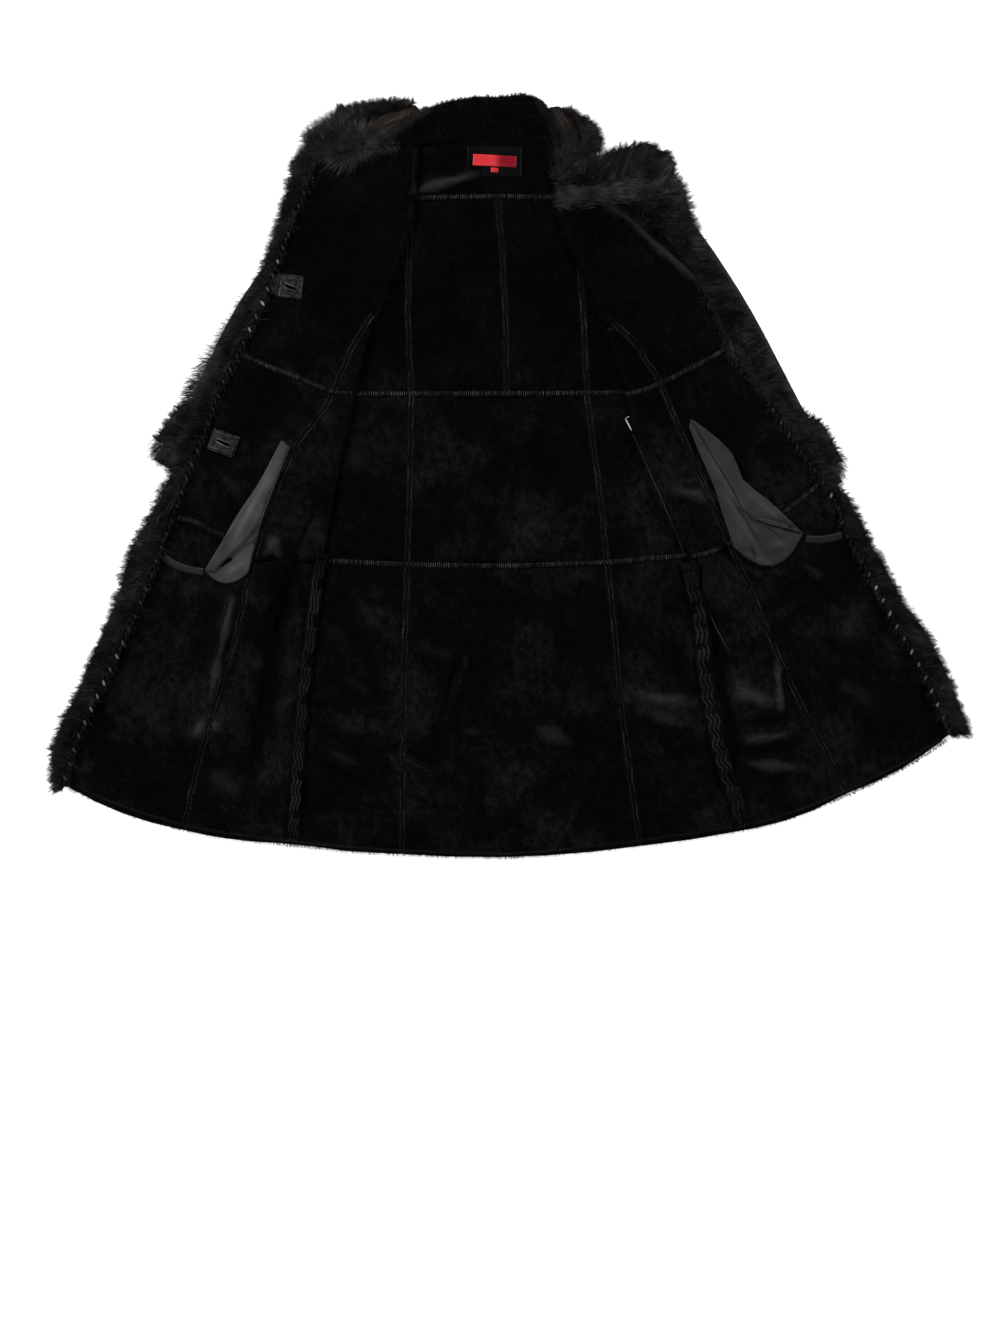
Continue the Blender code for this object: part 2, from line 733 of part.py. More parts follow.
def make_front(side):
    """Upper, middle and lower front panels, from the fold or princess seam to the fur."""
    under, over = front_under(side), front_over(side)
    fold, princess = band_line(f"fold_{side}", "shoulder"), band_line(f"princess_{side}", "upper")
    inner, fur = joined(fold, princess, 0.5), band_line(f"fur_{side}", "upper")
    patch = Patch(inner, fur, band_line(f"fur_{side}", "top"), straight(inner(1), fur(1)))

    def folded(v):
        return LEDGE, 1.0 if v <= 0.5 else 0.0

    panel(f"front_{side}_upper", patch, under, over, 4, front_shares(side, "upper"), "rtb", folded)
    for band in ("middle", "lower"):
        inner, fur = band_line(f"princess_{side}", band), band_line(f"fur_{side}", band)
        sag = HEM_SAG[f"front_{side}"] if band == "lower" else 0
        bottom = straight(inner(1), fur(1), -sag if side == "left" else sag)
        patch = Patch(inner, fur, straight(inner(0), fur(0)), bottom)
        lower_half = band == "lower"
        panel(
            f"front_{side}_{band}",
            patch,
            below_hip(under, side) if lower_half else under,
            below_hip(over, side, CLOTH) if lower_half else over,
            4,
            front_shares(side, band),
        )


def below_hip(height, side, rest=0.0):
    """What lifts the front above the hip fades out below it."""
    hip = band_line(f"princess_{side}", "lower")(0).y

    def lowered(point):
        fade = 1 - ease((hip - point.y) / HIP_FADE)
        flat = rest + (crease_height(point) if rest else 0.0)
        return flat + (height(point) - flat) * fade

    return lowered


def first_edge(side, band):
    """First edge of a front's side panel: the fold, or the side seam where that shows beside it."""
    fold, seam = band_line(f"fold_{side}", band), band_line(f"side_{side}", band)
    if band == "upper":
        return fold
    if band == "lower":
        return seam

    def line(t):
        point = fold(t)
        beside = nearest_at_height(seam, point.y)
        further_in = beside.x > point.x if side == "left" else beside.x < point.x
        share = ease((t - SEAM_SHOWS[side]) / SEAM_SHOWS_RUN)
        return point.lerp(beside, share) if further_in else point

    return line


def nearest_at_height(line, height):
    """The point of a line at one distance up the coat."""
    low, high = 0.0, 1.0
    for _ in range(30):
        middle = (low + high) / 2
        if line(middle).y > height:
            low = middle
        else:
            high = middle
    return line((low + high) / 2)


def make_front_side(side):
    """Side panels of a front, from the fold or side seam to the princess seam."""
    under, over = front_under(side), front_over(side)
    rows = {
        "upper": side_shares(),
        "middle": spaced(ROWS["middle"], MIDDLE_LENGTH),
        "lower": spaced(ROWS["lower"], LOWER_LENGTH),
    }
    for band in BANDS:
        edge, princess = first_edge(side, band), band_line(f"princess_{side}", band)
        fold = band_line(f"fold_{side}", band)
        sag = HEM_SAG[f"front_side_{side}"] if band == "lower" else 0
        bottom = straight(edge(1), princess(1), -sag if side == "left" else sag)
        patch = Patch(edge, princess, straight(edge(0), princess(0)), bottom)

        def folded(v, fold=fold, edge=edge, band=band):
            beside = nearest_at_height(fold, edge(v).y)
            stand = abs(beside.x - edge(v).x) if band != "upper" else 0
            return stand, 1.0

        if band == "lower":
            pleat = pleat_over(side, fold)
            panel(f"front_side_{side}_lower", patch, on_floor, pleat, 3, rows[band], "lrtb", folded)
        else:
            columns = 1 if band == "upper" else 3
            panel(f"front_side_{side}_{band}", patch, under, over, columns, rows[band], "rtb", folded)


def pleat_over(side, fold):
    """The pleat below the hip: full height beside the fold, fading outwards and down the coat."""

    def height(point):
        edge = nearest_at_height(fold, point.y)
        outward = edge.x - point.x if side == "left" else point.x - edge.x
        down = (fold(0).y - point.y) / (fold(0).y - fold(1).y)
        rise = FRONT_UNDER * (1 - ease(down)) * (1 - ease((outward - PLEAT_CREST) / PLEAT_SPREAD))
        return CLOTH + crease_height(point) + rise

    return height


# ---------------------------------------------------------------------------
# Sleeves and cuffs
# ---------------------------------------------------------------------------
def rounded_slab(name, material, patch, tall, rows, ends=1.0):
    """A flat tube on the surface: a slab with round long edges."""
    upper, lower = [], []
    for row in range(rows + 1):
        v = row / rows
        width = (patch.at(0, v) - patch.at(1, v)).length
        upper_row, lower_row = [], []
        for u, share in slab_places(width, tall):
            plan = patch.inset(u, v, SLEEVE_INSET)
            half = tall / 2 * share * (ends if v in (0.0, 1.0) else 1.0)
            upper_row.append(Vector((plan.x, plan.y, tall / 2 + half)))
            lower_row.append(Vector((plan.x, plan.y, tall / 2 - half)))
        upper.append(upper_row)
        lower.append(lower_row)
    return wall(name, material, upper, lower)


def slab_places(width, tall):
    """Across a slab: shares of the width, and how full the slab is there."""
    radius = tall / 2
    edge = [(0.0, 0.35), (0.3 * radius, 0.75), (radius, 1.0)]
    places = [(distance / width, share) for distance, share in edge]
    places.append((0.5, 1.0))
    places += [(1 - distance / width, share) for distance, share in reversed(edge)]
    return places


def make_sleeve(side):
    first, last = CUFF_SPAN
    step = SLEEVE_INSET / 2000
    rounded_slab(f"sleeve_{side}", "suede", sleeve_patch(side, 0.0, first - step), SLEEVE_THICK, 12)
    rounded_slab(f"sleeve_end_{side}", "suede", sleeve_patch(side, last + step, 1.0), SLEEVE_THICK, 2)
    cuff = sleeve_patch(side, first, last, CUFF_BULGE)
    rounded_slab(f"cuff_fur_{side}", "fur", cuff, CUFF_THICK, 4, ends=0.85)


# ---------------------------------------------------------------------------
# Fur, collar and pockets
# ---------------------------------------------------------------------------
def tuft(distance):
    """In and out swing of the clumps along a fur's outline."""
    clumps = math.sin(2 * math.pi * distance / TUFT_LENGTH)
    return TUFT_SWELL * (clumps + TUFT_UNEVEN * math.sin(2 * math.pi * distance / TUFT_SECOND))


def trim_rows(side):
    """Pairs of points down the trim, on its sewn edge and on its tips."""
    top = band_line(f"fur_{side}", "top")
    first = TRIM_FIRST[side]
    sewn = []
    for k in range(4):
        share = first + (TRIM_LAST - first) * k / 4
        run = (top(share + 0.01) - top(share - 0.01)).normalized()
        out = Vector((-run.y, run.x)) if side == "right" else Vector((run.y, -run.x))
        sewn.append(top(share) + out * TRIM_CLEAR)
    for band in BANDS:
        line = band_line(f"fur_{side}", band)
        shares = front_shares(side, band)
        sewn += [line(share) for share in shares[(0 if band == "upper" else 1):]]
    lengths = [0.0]
    for a, b in zip(sewn, sewn[1:]):
        lengths.append(lengths[-1] + (b - a).length)
    outline = Line(TRIM_OUTLINE[side]).whole()
    return [(point, outline(s / lengths[-1]), s) for point, s in zip(sewn, lengths)]


def make_trim(side):
    """The long fur from the collar down one front edge, on the surface, the sleeve and the cuff."""
    under = front_under(side)
    rows = trim_rows(side)
    upper, lower = [], []
    for number, (sewn, tips, down) in enumerate(rows):
        end = TRIM_END if number in (0, len(rows) - 1) else 1.0
        out = (tips - sewn).normalized()
        swing = tuft(down)
        upper_row, lower_row = [], []
        for share, full in TRIM_PROFILE:
            plan = (sewn + out * FUR_INSET).lerp(tips + out * swing, share)
            low = under(plan)
            top = low + TRIM_FUR * full * end + swing * 0.4
            upper_row.append(Vector((plan.x, plan.y, top)))
            lower_row.append(Vector((plan.x, plan.y, low)))
        upper.append(upper_row)
        lower.append(lower_row)
    return wall(f"front_fur_{side}", "fur", upper, lower)


def between(first, second):
    """The patch between two lists of points that run the same way."""
    a, b = Line(first).whole(), Line(second).whole()
    return Patch(a, b, straight(a(0), b(0)), straight(a(1), b(1)))


def strip_solid(name, material, patch, profile, rows, under, inset=SEAM_INSET, end=0.7):
    """A strip with the same cross profile along it: pairs of share across and height."""
    upper, lower = [], []
    for row in range(rows + 1):
        v = row / rows
        fade = end if row in (0, rows) else 1.0
        upper_row, lower_row = [], []
        for share, tall in profile:
            plan = patch.inset(share, v, inset)
            low = under(plan)
            upper_row.append(Vector((plan.x, plan.y, low + tall * fade)))
            lower_row.append(Vector((plan.x, plan.y, low)))
        upper.append(upper_row)
        lower.append(lower_row)
    return wall(name, material, upper, lower)


def make_collar():
    patch = between(NECK_SEAM, ROLLED_EDGE)
    strip_solid("collar", "pile", patch, COLLAR_PROFILE, 20, on_floor)
    for side in ("left", "right"):
        leaf, fur = LEAVES[side], COLLAR_FURS[side]
        turned = between(leaf["roll"], leaf["edge"])
        strip_solid(f"collar_leaf_{side}", "suede", turned, LEAF_PROFILE, 6, on_floor)
        edge = between(fur["inner"], fur["outer"])
        strip_solid(f"collar_fur_{side}", "fur", edge, FUR_PROFILE, 6, on_floor)


class Ground:
    """Height of the upper faces of some finished objects."""

    def __init__(self, *names):
        mesh = bmesh.new()
        for name in names:
            mesh.from_mesh(bpy.data.objects[name].data)
        self.tree = BVHTree.FromBMesh(mesh)
        mesh.free()

    def at(self, point):
        start = Vector((point.x * MM, point.y * MM, 1.0))
        hit = self.tree.ray_cast(start, Vector((0, 0, -1)))[0]
        return hit.z / MM if hit else 0.0

    def around(self, point, reach):
        """The greatest height at a point and on a small ring round it."""
        turns = [math.pi * k / 3 for k in range(6)]
        ring = [point + Vector((math.cos(a), math.sin(a))) * reach for a in turns]
        return max(self.at(p) for p in [point, *ring])


def lowest_in_cell(corners, x, y):
    """Height at a place in a four-cornered cell, split along whichever diagonal is lower there."""
    a, b, c, d = corners
    one = a + (b - a) * x + (d - b) * y if x >= y else a + (c - a) * y + (d - c) * x
    if x + y <= 1:
        return min(one, a + (b - a) * x + (c - a) * y)
    return min(one, d + (c - d) * (1 - x) + (b - d) * (1 - y))


def laid_on(name, material, patch, ground, thick, columns, rows, clear=LAID_CLEAR):
    """A thin piece that follows what it lies on, raised wherever a cell would cut into it."""
    plans = [[patch.at(c / columns, r / rows) for c in range(columns + 1)] for r in range(rows + 1)]
    lows = [[ground.around(plan, SAMPLE_REACH) + clear for plan in row] for row in plans]
    shares = [k / 6 for k in range(7)]
    for _ in range(4):
        raised = [[0.0] * (columns + 1) for _ in range(rows + 1)]
        for r in range(rows):
            for c in range(columns):
                cell = [(r, c), (r, c + 1), (r + 1, c), (r + 1, c + 1)]
                short = 0.0
                for x in shares:
                    for y in shares:
                        weights = [(1 - y) * (1 - x), (1 - y) * x, y * (1 - x), y * x]
                        plan = sum((plans[i][j] * w for (i, j), w in zip(cell, weights)), Vector((0, 0)))
                        low = lowest_in_cell([lows[i][j] for i, j in cell], x, y)
                        short = max(short, ground.around(plan, SAMPLE_REACH) + clear - low)
                for i, j in cell:
                    raised[i][j] = max(raised[i][j], short)
        lows = [[low + more for low, more in zip(*pair)] for pair in zip(lows, raised)]
    upper, lower = [], []
    for plan_row, low_row in zip(plans, lows):
        lower.append([Vector((p.x, p.y, low)) for p, low in zip(plan_row, low_row)])
        upper.append([Vector((p.x, p.y, low + thick)) for p, low in zip(plan_row, low_row)])
    return wall(name, material, upper, lower)


def make_pocket(side):
    """The bag that hangs out of the pocket, its folded lobe on it, and its tape to the fur."""
    names = [f"front_{kind}{side}_{band}" for kind in ("", "side_") for band in BANDS]
    fronts = Ground(*names)
    shape = POCKETS[side]
    patch = between(shape["edge"], shape["far"])
    bottom = straight(patch.left(1), patch.right(1), -shape["belly"] if side == "left" else shape["belly"])
    bag = Patch(patch.left, patch.right, patch.top, bottom)
    laid_on(f"pocket_bag_{side}", "twill", bag, fronts, TWILL, 6, 12, clear=BAG_CLEAR)
    lobe = between(shape["lobe"]["edge"], shape["lobe"]["far"])
    laid_on(f"pocket_lobe_{side}", "twill", lobe, Ground(f"pocket_bag_{side}", *names), TWILL, 3, 10)
    tape = Line(TAPES[side])
    beside = [tape.whole()(k / 6) for k in range(7)]
    runs = [(beside[min(k + 1, 6)] - beside[max(k - 1, 0)]).normalized() for k in range(7)]
    sides = [
        [p + Vector((-r.y, r.x)) * half for p, r in zip(beside, runs)]
        for half in (TAPE_WIDTH / 2, -TAPE_WIDTH / 2)
    ]
    everything = Ground(f"front_{side}_middle", f"front_{side}_lower", f"front_fur_{side}")
    laid_on(f"pocket_tape_{side}", "tape", between(*sides), everything, TAPE, 1, 6)


def turned_rectangle(shape):
    """The patch of a turned rectangle: middle, size and turn."""
    turn = math.radians(shape["turn"])
    across = Vector((math.cos(turn), math.sin(turn))) * shape["size"][0] / 2
    up = Vector((-math.sin(turn), math.cos(turn))) * shape["size"][1] / 2
    middle = Vector(shape["middle"])
    corners = [middle - across + up, middle + across + up, middle - across - up, middle + across - up]
    return Patch(
        straight(corners[0], corners[2]),
        straight(corners[1], corners[3]),
        straight(corners[0], corners[1]),
        straight(corners[2], corners[3]),
    )


def make_buttonholes():
    """Leather facings with a slit, each one sheet round the slit."""
    ground = Ground("front_left_upper", "front_left_middle")
    for name, shape in BUTTONHOLES.items():
        patch = turned_rectangle(shape)
        slit_u, slit_v = shape["slit"][0] / shape["size"][0] / 2, shape["slit"][1] / shape["size"][1] / 2
        shares_u = [0.0, 0.12, 0.5 - slit_u, 0.5 + slit_u, 0.88, 1.0]
        shares_v = [0.0, 0.15, 0.5 - slit_v, 0.5 + slit_v, 0.85, 1.0]
        mesh = bmesh.new()
        bmesh.ops.create_grid(mesh, x_segments=5, y_segments=5, size=1)
        middle = [face for face in mesh.faces if face.calc_center_median().length < 0.1]
        bmesh.ops.delete(mesh, geom=middle, context="FACES")
        heights = {}
        for vertex in mesh.verts:
            column, row = round((vertex.co.x + 1) * 2.5), round((vertex.co.y + 1) * 2.5)
            plan = patch.at(shares_u[column], shares_v[row])
            edge = column in (0, 5) or row in (0, 5)
            low = ground.around(plan, FACING_REACH) + GAP
            vertex.co = (plan.x, plan.y, low)
            heights[(round(plan.x, 3), round(plan.y, 3))] = LEATHER * (0.6 if edge else 1.0)
        raised = bmesh.ops.extrude_face_region(mesh, geom=mesh.faces[:])
        for vertex in raised["geom"]:
            if isinstance(vertex, bmesh.types.BMVert):
                vertex.co.z += heights[(round(vertex.co.x, 3), round(vertex.co.y, 3))]
        place(f"buttonhole_{name}", mesh, "leather")


def make_labels():
    yoke = Ground("back_yoke")
    laid_on("neck_patch", "satin", turned_rectangle(PATCH), yoke, SATIN, 4, 2)
    patch = Ground("neck_patch")
    laid_on("neck_label", "label_red", turned_rectangle(LABEL), patch, SATIN, 3, 1)
    laid_on("size_tab", "label_red", turned_rectangle(TAB), patch, SATIN, 1, 1)
    points = [Vector(p) for p in CARE_LABEL]
    care = Patch(
        straight(points[0], points[1]), straight(points[3], points[2]),
        straight(points[0], points[3]), straight(points[1], points[2]),
    )
    laid_on("care_label", "care", care, Ground("back_side_right_middle"), SATIN, 1, 2)


def make_side_laps():
    """The lapped side seams below the hip, with a frilled edge."""
    for side in ("left", "right"):
        seam = Line([Vector(p) for p in LAPS[side]])
        length, count = seam.lengths[-1], LAP_ROWS
        edges = ([], [])
        for k in range(count + 1):
            point = seam.whole()(k / count)
            before = seam.whole()(max(k / count - LAP_STEP, 0))
            run = (seam.whole()(min(k / count + LAP_STEP, 1)) - before).normalized()
            across = Vector((-run.y, run.x))
            swing = LAP_SWING * math.sin(2 * math.pi * length * k / count / LAP_WAVE)
            edges[0].append(point + across * (LAP_WIDTH[side] / 2 + swing))
            edges[1].append(point - across * (LAP_WIDTH[side] / 2 - swing * 0.5))
        kinds = ("back_side", "front_side")
        ground = Ground(*[f"{kind}_{side}_{band}" for kind in kinds for band in BANDS[1:]])
        patch = between(*edges)
        laid_on(f"side_lap_{side}", "pile", patch, ground, LAP_THICK, 2, count)


# ---------------------------------------------------------------------------
COAT = bpy.data.collections.new("faux_shearling_coat")
LIFTS = {}


def main():
    clear_scene()
    bpy.context.scene.collection.children.link(COAT)
    make_back()
    make_yoke()
    for side in ("left", "right"):
        LIFTS[side] = make_lifts(side)
        make_sleeve(side)
        make_front(side)
        make_front_side(side)
        make_trim(side)
    make_collar()
    for side in ("left", "right"):
        make_pocket(side)
    make_buttonholes()
    make_labels()
    make_side_laps()


main()
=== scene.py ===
import json
import math

import bmesh
import bpy
import numpy as np
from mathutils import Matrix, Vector, kdtree, noise
from mathutils.bvhtree import BVHTree

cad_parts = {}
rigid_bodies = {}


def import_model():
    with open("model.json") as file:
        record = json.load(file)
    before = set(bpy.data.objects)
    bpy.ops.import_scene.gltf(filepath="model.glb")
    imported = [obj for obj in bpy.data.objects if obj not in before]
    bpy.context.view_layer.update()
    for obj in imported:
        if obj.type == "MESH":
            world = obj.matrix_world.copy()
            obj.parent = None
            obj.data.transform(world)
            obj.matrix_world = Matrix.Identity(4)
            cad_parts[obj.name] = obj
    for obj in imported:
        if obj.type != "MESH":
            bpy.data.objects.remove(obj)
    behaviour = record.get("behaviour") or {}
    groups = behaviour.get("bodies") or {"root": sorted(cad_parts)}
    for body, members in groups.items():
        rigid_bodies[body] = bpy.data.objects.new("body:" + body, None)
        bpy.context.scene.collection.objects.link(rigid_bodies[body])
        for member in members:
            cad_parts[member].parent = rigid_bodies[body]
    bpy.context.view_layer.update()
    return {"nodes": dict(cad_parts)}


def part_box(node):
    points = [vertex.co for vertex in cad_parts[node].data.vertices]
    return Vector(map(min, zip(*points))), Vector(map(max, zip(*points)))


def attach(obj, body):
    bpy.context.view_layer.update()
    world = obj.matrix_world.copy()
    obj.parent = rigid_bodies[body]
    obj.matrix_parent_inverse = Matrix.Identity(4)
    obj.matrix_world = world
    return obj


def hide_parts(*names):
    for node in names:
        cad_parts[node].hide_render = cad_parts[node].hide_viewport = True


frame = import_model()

# ---------------------------------------------------------------------------------------------
# Floor: the plain white table that the coat lies on. It glows a little, so that the coat's shadow
# stays pale. It isn't part of the coat.
# ---------------------------------------------------------------------------------------------

FLOOR_HALF = 9.0
FLOOR_DROP = 0.0005  # below the coat's underside


def maths(operation, swapped=False):
    """An operator of Socket, which adds a Math node on its two values."""
    def apply(self, other):
        first, second = (other, self) if swapped else (self, other)
        return self.look.node("ShaderNodeMath", {"operation": operation}, {0: first, 1: second})

    return apply


class Socket:
    """One output in a material, so that its maths can be written with + - and *."""

    def __init__(self, look, output):
        self.look = look
        self.output = output

    __add__, __radd__ = maths("ADD"), maths("ADD", True)
    __sub__, __rsub__ = maths("SUBTRACT"), maths("SUBTRACT", True)
    __mul__, __rmul__ = maths("MULTIPLY"), maths("MULTIPLY", True)


class Look:
    """A material: its constants go on the shader's own sockets, and nodes feed what varies."""

    def __init__(self, name, constants):
        self.material = bpy.data.materials.new(name)
        self.material.use_nodes = True
        self.tree = self.material.node_tree
        self.shader = self.tree.nodes["Principled BSDF"]
        for key, value in constants.items():
            self.shader.inputs[key].default_value = value

    def node(self, kind, settings=None, inputs=None, output=0):
        made = self.tree.nodes.new(kind)
        for key, value in (settings or {}).items():
            setattr(made, key, value)
        for key, value in (inputs or {}).items():
            if isinstance(value, Socket):
                self.tree.links.new(value.output, made.inputs[key])
            else:
                made.inputs[key].default_value = value
        return Socket(self, made.outputs[output])

    def feed(self, key, value):
        self.tree.links.new(value.output, self.shader.inputs[key])

    def attribute(self, name):
        return self.node("ShaderNodeAttribute", {"attribute_name": name}, output="Fac")

    def place(self, stretch=(1, 1, 1), turn=0.0):
        """Object coordinates in metres, stretched and turned about the vertical."""
        point = self.node("ShaderNodeTexCoord", output="Object")
        return self.node(
            "ShaderNodeMapping", {"vector_type": "TEXTURE"},
            {"Vector": point, "Scale": [1 / s for s in stretch], "Rotation": (0, 0, math.radians(turn))},
        )

    def along(self, axis):
        """The place along x (0) or y (1), in metres."""
        return self.node("ShaderNodeSeparateXYZ", None, {"Vector": self.place()}, output=axis)

    def noise(self, scale, detail=3.0, rough=0.55, stretch=(1, 1, 1), turn=0.0, distort=0.0):
        return self.node(
            "ShaderNodeTexNoise", None,
            {"Vector": self.place(stretch, turn), "Scale": scale, "Detail": detail,
             "Roughness": rough, "Distortion": distort},
        )

    def rows(self, across, scale, distort, turn=0.0, detail=2.0):
        """Close rows of threads, side by side along an axis."""
        return self.node(
            "ShaderNodeTexWave", {"wave_type": "BANDS", "bands_direction": across},
            {"Vector": self.place(turn=turn), "Scale": scale, "Distortion": distort, "Detail": detail},
        )

    def ramp(self, value, low, high, start=0.0, end=1.0):
        return self.node(
            "ShaderNodeMapRange", {"interpolation_type": "SMOOTHSTEP"},
            {"Value": value, "From Min": low, "From Max": high, "To Min": start, "To Max": end},
        )

    def mix(self, share, first, second):
        return self.node(
            "ShaderNodeMix", {"data_type": "RGBA"}, {0: share, 6: first, 7: second}, output=2
        )

    def tint(self, share, dark, light):
        self.feed("Base Color", self.mix(share, (*dark, 1), (*light, 1)))

    def bump(self, height, strength, distance):
        """Turns a height into the shader's normal."""
        inputs = {"Height": height, "Strength": strength, "Distance": distance}
        self.feed("Normal", self.node("ShaderNodeBump", None, inputs))


floor_look = Look("table_white", {
    "Base Color": (0.93, 0.93, 0.93, 1), "Roughness": 0.7,
    "Emission Color": (1, 1, 1, 1), "Emission Strength": 0.6,
})
floor_look.bump(floor_look.noise(40.0), 0.02, 0.001)
shape = bmesh.new()
bmesh.ops.create_grid(shape, x_segments=1, y_segments=1, size=FLOOR_HALF)
floor_mesh = bpy.data.meshes.new("floor")
shape.to_mesh(floor_mesh)
shape.free()
floor_mesh.materials.append(floor_look.material)
floor = bpy.data.objects.new("floor", floor_mesh)
floor.location.z = -FLOOR_DROP
bpy.context.scene.collection.objects.link(floor)

# ---------------------------------------------------------------------------------------------
# Panels: the back, sides and fronts, cut from faux shearling, suede outside and short black
# pile inside. The pile side lies up. They are seamed at the yoke, waist and hip and down the body.
# ---------------------------------------------------------------------------------------------

MM = 0.001
PANELS = {
    # piece: flat width, flat length, flat area, what it lies on
    "back_yoke": (0.101, 0.339, 0.0249, "floor"),
    "back_upper_left": (0.148, 0.295, 0.0417, "floor"),
    "back_upper_right": (0.120, 0.300, 0.0340, "floor"),
    "back_middle": (0.257, 0.299, 0.0717, "floor"),
    "back_lower": (0.357, 0.440, 0.1427, "floor"),
    "back_side_left_upper": (0.101, 0.291, 0.0261, "floor"),
    "back_side_left_middle": (0.128, 0.256, 0.0282, "floor"),
    "back_side_left_lower": (0.163, 0.433, 0.0643, "floor"),
    "back_side_right_upper": (0.116, 0.294, 0.0277, "floor"),
    "back_side_right_middle": (0.125, 0.257, 0.0290, "floor"),
    "back_side_right_lower": (0.158, 0.429, 0.0572, "floor"),
    "front_side_left_upper": (0.030, 0.135, 0.0023, "back_side_left_upper"),
    "front_side_left_middle": (0.100, 0.275, 0.0194, "back_side_left_middle"),
    "front_side_left_lower": (0.166, 0.429, 0.0547, "floor"),
    "front_side_right_upper": (0.052, 0.106, 0.0041, "back_side_right_upper"),
    "front_side_right_middle": (0.076, 0.265, 0.0174, "back_side_right_middle"),
    "front_side_right_lower": (0.161, 0.423, 0.0498, "floor"),
    "front_left_upper": (0.175, 0.389, 0.0565, "sleeve_left"),
    "front_left_middle": (0.156, 0.277, 0.0375, "sleeve_left"),
    "front_left_lower": (0.191, 0.446, 0.0701, "floor"),
    "front_right_upper": (0.145, 0.350, 0.0390, "sleeve_right"),
    "front_right_middle": (0.165, 0.256, 0.0351, "sleeve_right"),
    "front_right_lower": (0.184, 0.437, 0.0746, "floor"),
}
# The ridges' heights also colour the pile: crests are painted lighter as painted highlights, troughs darker
# as painted shade.
RIDGES = [
    # crests and troughs in the lie of the cloth, in mm: from x, y, to x, y, height, half width
    (60, 416, 200, 426, 6.0, 12),
    (112, 428, 196, 368, 5.5, 7),
    (170, 388, 286, 282, 6.5, 8),
    (122, 424, 270, 318, -4.0, 9),
    (229, -20, 310, -37, 5.0, 11),
    (396, -278, 404, -354, 8.5, 5),
    (326, -326, 394, -342, 4.5, 11),
    (343, -399, 417, -388, 6.0, 8),
    (343, -430, 440, -440, 5.0, 11),
    (-418, -182, -436, -264, 8.0, 6),
    (-436, -262, -453, -340, 5.5, 7),
    (-332, -140, -368, -300, -4.5, 16),
    (-352, -270, -392, -450, -4.0, 19),
    (292, -190, 318, -330, -5.0, 12),
    (314, -310, 342, -440, -4.0, 10),
    (350, -374, 416, -362, -3.0, 8),
    (352, -416, 420, -406, -3.0, 9),
    (412, -300, 418, -350, -3.0, 6),
    (-66, -262, -90, -350, 2.6, 5),
    (-90, -350, -88, -440, 3.0, 5),
    (-80, -262, -103, -352, -3.5, 6),
    (-303, -423, -211, -463, -3.5, 7),
    (-290, -404, -214, -442, 3.0, 7),
    (-171, -408, -110, -433, -3.5, 6),
    (-165, -424, -112, -447, 3.0, 6),
    (-477, -394, -462, -364, 3.5, 6),
    (-452, -360, -436, -384, 4.0, 5),
    (-150, 424, -50, 452, 7.0, 9),
    (-120, 418, -40, 440, -2.5, 7),
    (177, -328, 282, -343, 4.5, 12),
    (201, -352, 258, -377, 3.5, 11),
    (28, -376, 96, -404, 3.5, 14),
    (325, -300, 382, -337, 3.0, 15),
    (-478, -386, -441, -376, 4.5, 12),
    (-268, -376, -205, -385, 2.5, 12),
    (-153, -252, -63, -281, 2.5, 13),
    (-363, -88, -344, -128, 6.0, 8),
    (-376, -128, -352, -96, 3.5, 6),
    (-355, 180, -300, 120, 2.5, 16),
    (-8, 330, -10, 150, 1.6, 5),
    (-30, -60, 40, -100, 2.0, 16),
    (480, -300, 560, -360, 2.5, 18),
    (432, -129, 468, -158, 3.0, 9),
    (475, -29, 486, -72, 3.0, 8),
    (-441, 12, -400, -40, 3.0, 9),
    (-292, 98, -262, 66, 3.0, 8),
    (-462, -440, -400, -480, 3.2, 18),
    (520, -180, 500, -260, 2.5, 18),
    (-560, -330, -500, -420, 2.5, 18),
    (-240, -180, -190, -240, 2.5, 12),
    (-255, -300, -205, -330, 2.5, 14),
    (70, -180, 110, -250, 2.0, 12),
]
RIDGE_ENDS = 0.35  # a ridge's height at its ends, as a share
LUMP_LARGE = (2.4, 12.0)  # height in mm, and how many to a metre
LUMP_SMALL = (0.7, 38.0)
CELL = 0.0082  # size of the shells' faces
SMOOTHING = 9
SPREAD = 1.1  # how far a panel's rim is spread, in mm
LEVEL = 0.5  # faces lie on top where their normal rises more than this


def beside(line, x, y):
    """For points x, y in mm: their length along a line, and how far they lie from it, with a sign."""
    corners = np.array(line, float)
    best = np.full(np.shape(x), 1e9)
    along = np.zeros(np.shape(x))
    run = 0.0
    for first, second in zip(corners[:-1], corners[1:]):
        step = second - first
        length = np.hypot(*step)
        way = step / length
        share = np.clip((x - first[0]) * way[0] + (y - first[1]) * way[1], 0, length)
        off_x = x - first[0] - way[0] * share
        off_y = y - first[1] - way[1] * share
        far = np.hypot(off_x, off_y)
        side = np.where(way[0] * off_y - way[1] * off_x < 0, -1.0, 1.0)
        closer = far < np.abs(best)
        best = np.where(closer, far * side, best)
        along = np.where(closer, run + share, along)
        run += length
    return along, best


def creases(table, x, y, ends=0.0, trim=0.0, wobble=0.0):
    """Height in mm that a table's creases add at each point. They fade towards their ends."""
    height = np.zeros(np.shape(x))
    for from_x, from_y, to_x, to_y, tall, half in table:
        line = [(from_x, from_y), (to_x, to_y)]
        length = math.dist(*line)
        along, far = beside(line, x, y)
        swell = ends + (1 - ends) * np.sin(math.pi * np.clip(along / length, trim, 1 - trim))
        width = half * (1 + wobble * np.sin(along / 9.0 + length))
        height += tall * swell * np.exp(-((far / width) ** 2))
    return height


def rough(x, y, often_x, often_y, layer):
    """Smooth noise from -1 to 1 at each point."""
    spots = zip(x, y)
    return np.array([noise.noise(Vector((a * often_x, b * often_y, layer))) for a, b in spots])


def ridges(x, y):
    return creases(RIDGES, x, y, RIDGE_ENDS, wobble=0.25)


